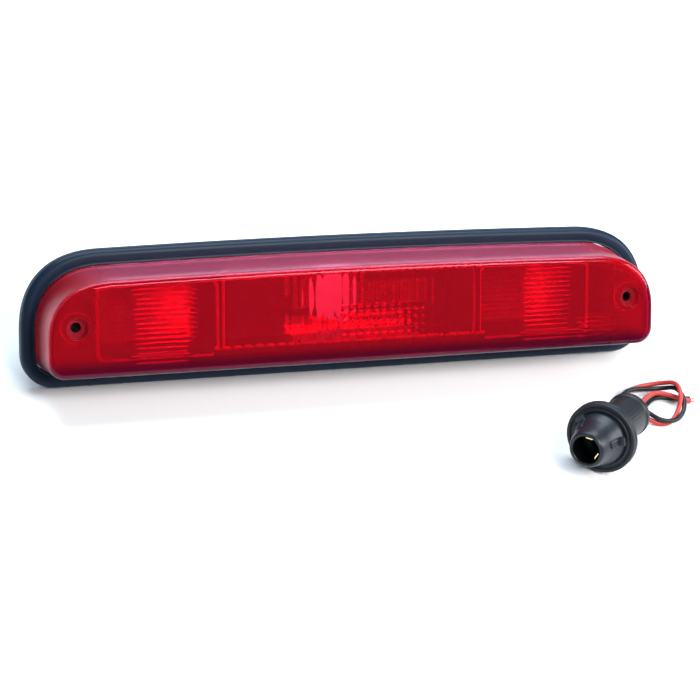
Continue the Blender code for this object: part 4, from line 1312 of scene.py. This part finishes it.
def build_strands(name, path, copper):
    """Seven strands: one straight on from the wire's end, and six that wind round it."""
    heading = path[-1] - path[-2]
    heading /= np.linalg.norm(heading)
    side, up = (vectors[-1] for vectors in frames_along(path))
    steps = np.linspace(0, 1, 14)[:, None]
    skin = Skin()
    for strand in range(7):
        angle = strand * TURN / 6 + 1.2 * steps
        out = 0.0 if strand == 6 else (0.44 + 0.05 * steps * (strand % 3)) * MM
        length = STRAND_LENGTH * (1 - 0.04 * (strand % 3)) * MM
        centre = path[-1] + heading * length * steps
        centre = centre + out * (np.cos(angle) * side + np.sin(angle) * up)
        tube(skin, centre, STRAND_RADIUS * MM, 8)
    mesh = skin.mesh(f"{name}_strands", in_metres, 60)
    node = f"{name}_wire_conductor"
    return show(f"{name}_strands", mesh, "bulb_socket", copper, node)


# Stage


def build_floor(scene):
    """A large square of pale paper, a hair below what stands on it."""
    skin = Skin()
    across = np.linspace(-4000, 4000, 9)
    x, y = np.meshgrid(across, across, indexing="ij")
    skin.sheet(skin.add(np.stack((x, y, np.full_like(x, -0.02)), -1)))
    mesh = skin.mesh("floor", on_floor)
    floor = bpy.data.objects.new("floor", mesh)
    scene.collection.objects.link(floor)
    finish = Finish("floor_paper")
    cloud = finish.noise(3, 3)
    finish.set(
        Base_Color=finish.mix(cloud, (0.78, 0.77, 0.76, 1), (0.82, 0.81, 0.80, 1)),
        Roughness=0.8 + 0.1 * cloud,
    )
    mesh.materials.append(finish.material)


def build_lights(scene):
    """Soft lights: each with its place, the point that it faces, its size, its watts and its colour."""
    lights = (
        ("overhead_softbox", (0.1, 0.7, 1.5), (0, 0.05, 0), (1.8, 1.0), 50.0, (0.78, 0.90, 1.0)),
        ("front_softbox", (0.55, -1.30, 1.55), (0, 0, 0.03), (1.1, 0.8), 50.0, (1.0, 0.99, 0.98)),
        ("right_softbox", (1.5, -0.55, 0.8), (0, 0, 0.03), (0.7, 0.8), 22.0, (1.0, 1.0, 1.0)),
    )
    for name, spot, target, size, power, colour in lights:
        data = bpy.data.lights.new(name, "AREA")
        data.shape = "RECTANGLE"
        data.size, data.size_y = size
        data.energy = power
        data.color = colour
        light = bpy.data.objects.new(name, data)
        scene.collection.objects.link(light)
        light.location = spot
        light.rotation_euler = (Vector(target) - Vector(spot)).to_track_quat("-Z", "Y").to_euler()


def build_stage():
    """Pale floor, even surroundings, three soft lights and the camera."""
    scene = bpy.context.scene
    scene.view_settings.view_transform = "Standard"
    build_floor(scene)
    scene.world = bpy.data.worlds.new("studio")
    scene.world.use_nodes = True
    surroundings = scene.world.node_tree.nodes["Background"]
    surroundings.inputs["Color"].default_value = (0.52, 0.74, 1.0, 1)
    surroundings.inputs["Strength"].default_value = 0.30
    build_lights(scene)
    build_camera(scene)


def build_camera(scene):
    """A long lens, turned from the lamp's front by a yaw and a rise in the lamp's own frame."""
    yaw, rise = CAMERA_YAW, CAMERA_RISE
    right = np.array((math.cos(yaw), -math.sin(yaw), 0))
    up = np.array((math.sin(yaw) * math.sin(rise), math.cos(yaw) * math.sin(rise), math.cos(rise)))
    axes = LAMP_TURN @ np.column_stack((right, up, np.cross(right, up)))
    data = bpy.data.cameras.new("camera")
    data.lens = CAMERA_LENS
    data.shift_x, data.shift_y = CAMERA_SHIFT
    camera = bpy.data.objects.new("camera", data)
    place = Matrix(axes.tolist()).to_4x4()
    place.translation = Vector(LAMP_ORIGIN + CAMERA_DISTANCE * axes[:, 2])
    camera.matrix_world = place
    scene.collection.objects.link(camera)
    scene.camera = camera


# Settings


def size_setting(name, description, millimetres):
    return FloatProperty(name=name, description=description, default=millimetres * MM, unit="LENGTH")


def colour_setting(name, description, default):
    return FloatVectorProperty(
        name=name, description=description, default=default, subtype="COLOR", min=0, max=1
    )


class BrakeLightSizes(bpy.types.PropertyGroup):
    """Sizes of the details that the frame doesn't fix."""

    gasket_round: size_setting("Gasket rounding", "Radius of the gasket's front edge", 3.6)
    lens_bulge: size_setting("Lens bulge", "How far the lens's face curves back at its edges", 0.9)
    rib_height: size_setting("Rib height", "Height of the optic ribs inside the lens", 0.28)
    upright_pitch: size_setting("Upright rib pitch", "Spacing of the lens's upright ribs", UPRIGHT_PITCH)
    level_pitch: size_setting("Level rib pitch", "Spacing of the lens's level ribs", LEVEL_PITCH)
    bead_pitch: size_setting("Bead pitch", "Spacing of the beads along the bar", BEAD_PITCH)


class BrakeLightColours(bpy.types.PropertyGroup):
    """Colours of the finishes."""

    lens: colour_setting("Lens", "Clear red acrylic", (0.86, 0.0, 0.010))
    # Colour of the painted pale sheen on the lens's walls.
    lens_painted_sheen: colour_setting("Lens painted sheen", "Pale painted sheen on the lens's hazed walls, most on the upper side", (1.0, 0.22, 0.42))
    # Colour of the painted shade low on the lens and at its right end.
    lens_painted_shade: colour_setting("Lens foot", "Painted shade, deeper red low on the lens and at its right end", (0.13, 0.0, 0.035))
    gasket: colour_setting("Gasket", "Blue-black rubber", (0.004, 0.011, 0.024))
    housing: colour_setting("Housing", "Black plastic", (0.012, 0.012, 0.014))
    # Colours of the painted highlight on the beads and the painted shade on the bar under them.
    bead: colour_setting("Beads", "Pale red painted highlight on the beads' crests", (1.0, 0.45, 0.45))
    bar_painted_shade: colour_setting("Ledge", "Painted shade on the bar under the beads", (0.045, 0.0, 0.02))
    socket: colour_setting("Socket", "Slate-black plastic", (0.008, 0.010, 0.014))
    seal: colour_setting("Seal", "Black rubber of the socket's seal", (0.010, 0.012, 0.016))
    boot: colour_setting("Boot", "Black rubber of the boot", (0.007, 0.008, 0.009))
    wire: colour_setting("Red wire", "Salmon-red insulation", (0.45, 0.036, 0.030))


class BrakeLightOperator:
    """What the operators share."""

    bl_options = {"REGISTER", "UNDO"}

    @property
    def sizes(self):
        return bpy.context.scene.brake_light_sizes

    @property
    def colours(self):
        return bpy.context.scene.brake_light_colours


class BRAKELIGHT_OT_gasket(BrakeLightOperator, bpy.types.Operator):
    """Build the rubber gasket"""

    bl_idname = "brakelight.gasket"
    bl_label = "Gasket"

    def execute(self, context):
        build_gasket(self.sizes, self.colours)
        return {"FINISHED"}


class BRAKELIGHT_OT_lens(BrakeLightOperator, bpy.types.Operator):
    """Build the ribbed lens and the sealant bead behind it"""

    bl_idname = "brakelight.lens"
    bl_label = "Lens and sealant"

    def execute(self, context):
        build_lens(self.sizes, self.colours)
        build_sealant()
        return {"FINISHED"}


class BRAKELIGHT_OT_housing(BrakeLightOperator, bpy.types.Operator):
    """Build the housing"""

    bl_idname = "brakelight.housing"
    bl_label = "Housing"

    def execute(self, context):
        build_housing(self.colours)
        return {"FINISHED"}


class BRAKELIGHT_OT_reflectors(BrakeLightOperator, bpy.types.Operator):
    """Build the three reflector bowls and the bead bar"""

    bl_idname = "brakelight.reflectors"
    bl_label = "Reflectors"

    def execute(self, context):
        centre = {"centre": 0.0, "half": (77.0, 68.0), "top": 23.2, "floor": 28.0, "back": REFLECTOR_BACK}
        build_bowl("centre", centre, centre_relief, centre_shade, (230, 40), BULB_HOLE)
        side = {"half": (35.5, 27.5), "top": 20.2, "floor": 19.0, "back": SIDE_BACK}
        left, right = {"centre": -114.0, **side}, {"centre": 114.0, **side}
        build_bowl("left", left, side_relief, side_shade(-0.122, -0.098), (24, 110))
        build_bowl("right", right, side_relief, side_shade(0.114, 0.128), (24, 110))
        build_strip(self.sizes, self.colours)
        return {"FINISHED"}


class BRAKELIGHT_OT_small_rubber(BrakeLightOperator, bpy.types.Operator):
    """Build the vent and finish the well seals"""

    bl_idname = "brakelight.small_rubber"
    bl_label = "Vent and well seals"

    def execute(self, context):
        build_small_rubber()
        return {"FINISHED"}


class BRAKELIGHT_OT_socket(BrakeLightOperator, bpy.types.Operator):
    """Build the bulb socket with its seal, boot and contacts"""

    bl_idname = "brakelight.socket"
    bl_label = "Bulb socket"

    def execute(self, context):
        build_socket_shell(self.colours)
        build_socket_seal(self.colours)
        build_boot(self.colours)
        dress_contacts()
        return {"FINISHED"}


class BRAKELIGHT_OT_wires(BrakeLightOperator, bpy.types.Operator):
    """Build the twisted pair of wires"""

    bl_idname = "brakelight.wires"
    bl_label = "Wires"

    def execute(self, context):
        build_wires(self.colours)
        return {"FINISHED"}


class BRAKELIGHT_OT_stage(BrakeLightOperator, bpy.types.Operator):
    """Set up the floor, the lights and the camera"""

    bl_idname = "brakelight.stage"
    bl_label = "Stage"

    def execute(self, context):
        build_stage()
        return {"FINISHED"}


OPERATORS = (
    BRAKELIGHT_OT_stage,
    BRAKELIGHT_OT_wires,
    BRAKELIGHT_OT_gasket,
    BRAKELIGHT_OT_lens,
    BRAKELIGHT_OT_housing,
    BRAKELIGHT_OT_reflectors,
    BRAKELIGHT_OT_small_rubber,
    BRAKELIGHT_OT_socket,
)


class BRAKELIGHT_PT_panel(bpy.types.Panel):
    """Lists the sizes, the colours and the builders"""

    bl_label = "Third Brake Light"
    bl_idname = "BRAKELIGHT_PT_panel"
    bl_space_type = "VIEW_3D"
    bl_region_type = "UI"
    bl_category = "Brake Light"

    def draw(self, context):
        layout = self.layout
        for group in (context.scene.brake_light_sizes, context.scene.brake_light_colours):
            for name in group.__annotations__:
                layout.prop(group, name)
        for operator in OPERATORS:
            layout.operator(operator.bl_idname)


CLASSES = (BrakeLightSizes, BrakeLightColours, *OPERATORS, BRAKELIGHT_PT_panel)


def register():
    for each in CLASSES:
        bpy.utils.register_class(each)
    bpy.types.Scene.brake_light_sizes = PointerProperty(type=BrakeLightSizes)
    bpy.types.Scene.brake_light_colours = PointerProperty(type=BrakeLightColours)


def unregister():
    del bpy.types.Scene.brake_light_colours
    del bpy.types.Scene.brake_light_sizes
    for each in reversed(CLASSES):
        bpy.utils.unregister_class(each)


def main():
    register()
    for operator in OPERATORS:
        group, name = operator.bl_idname.split(".")
        getattr(getattr(bpy.ops, group), name)()


if __name__ == "__main__":
    main()
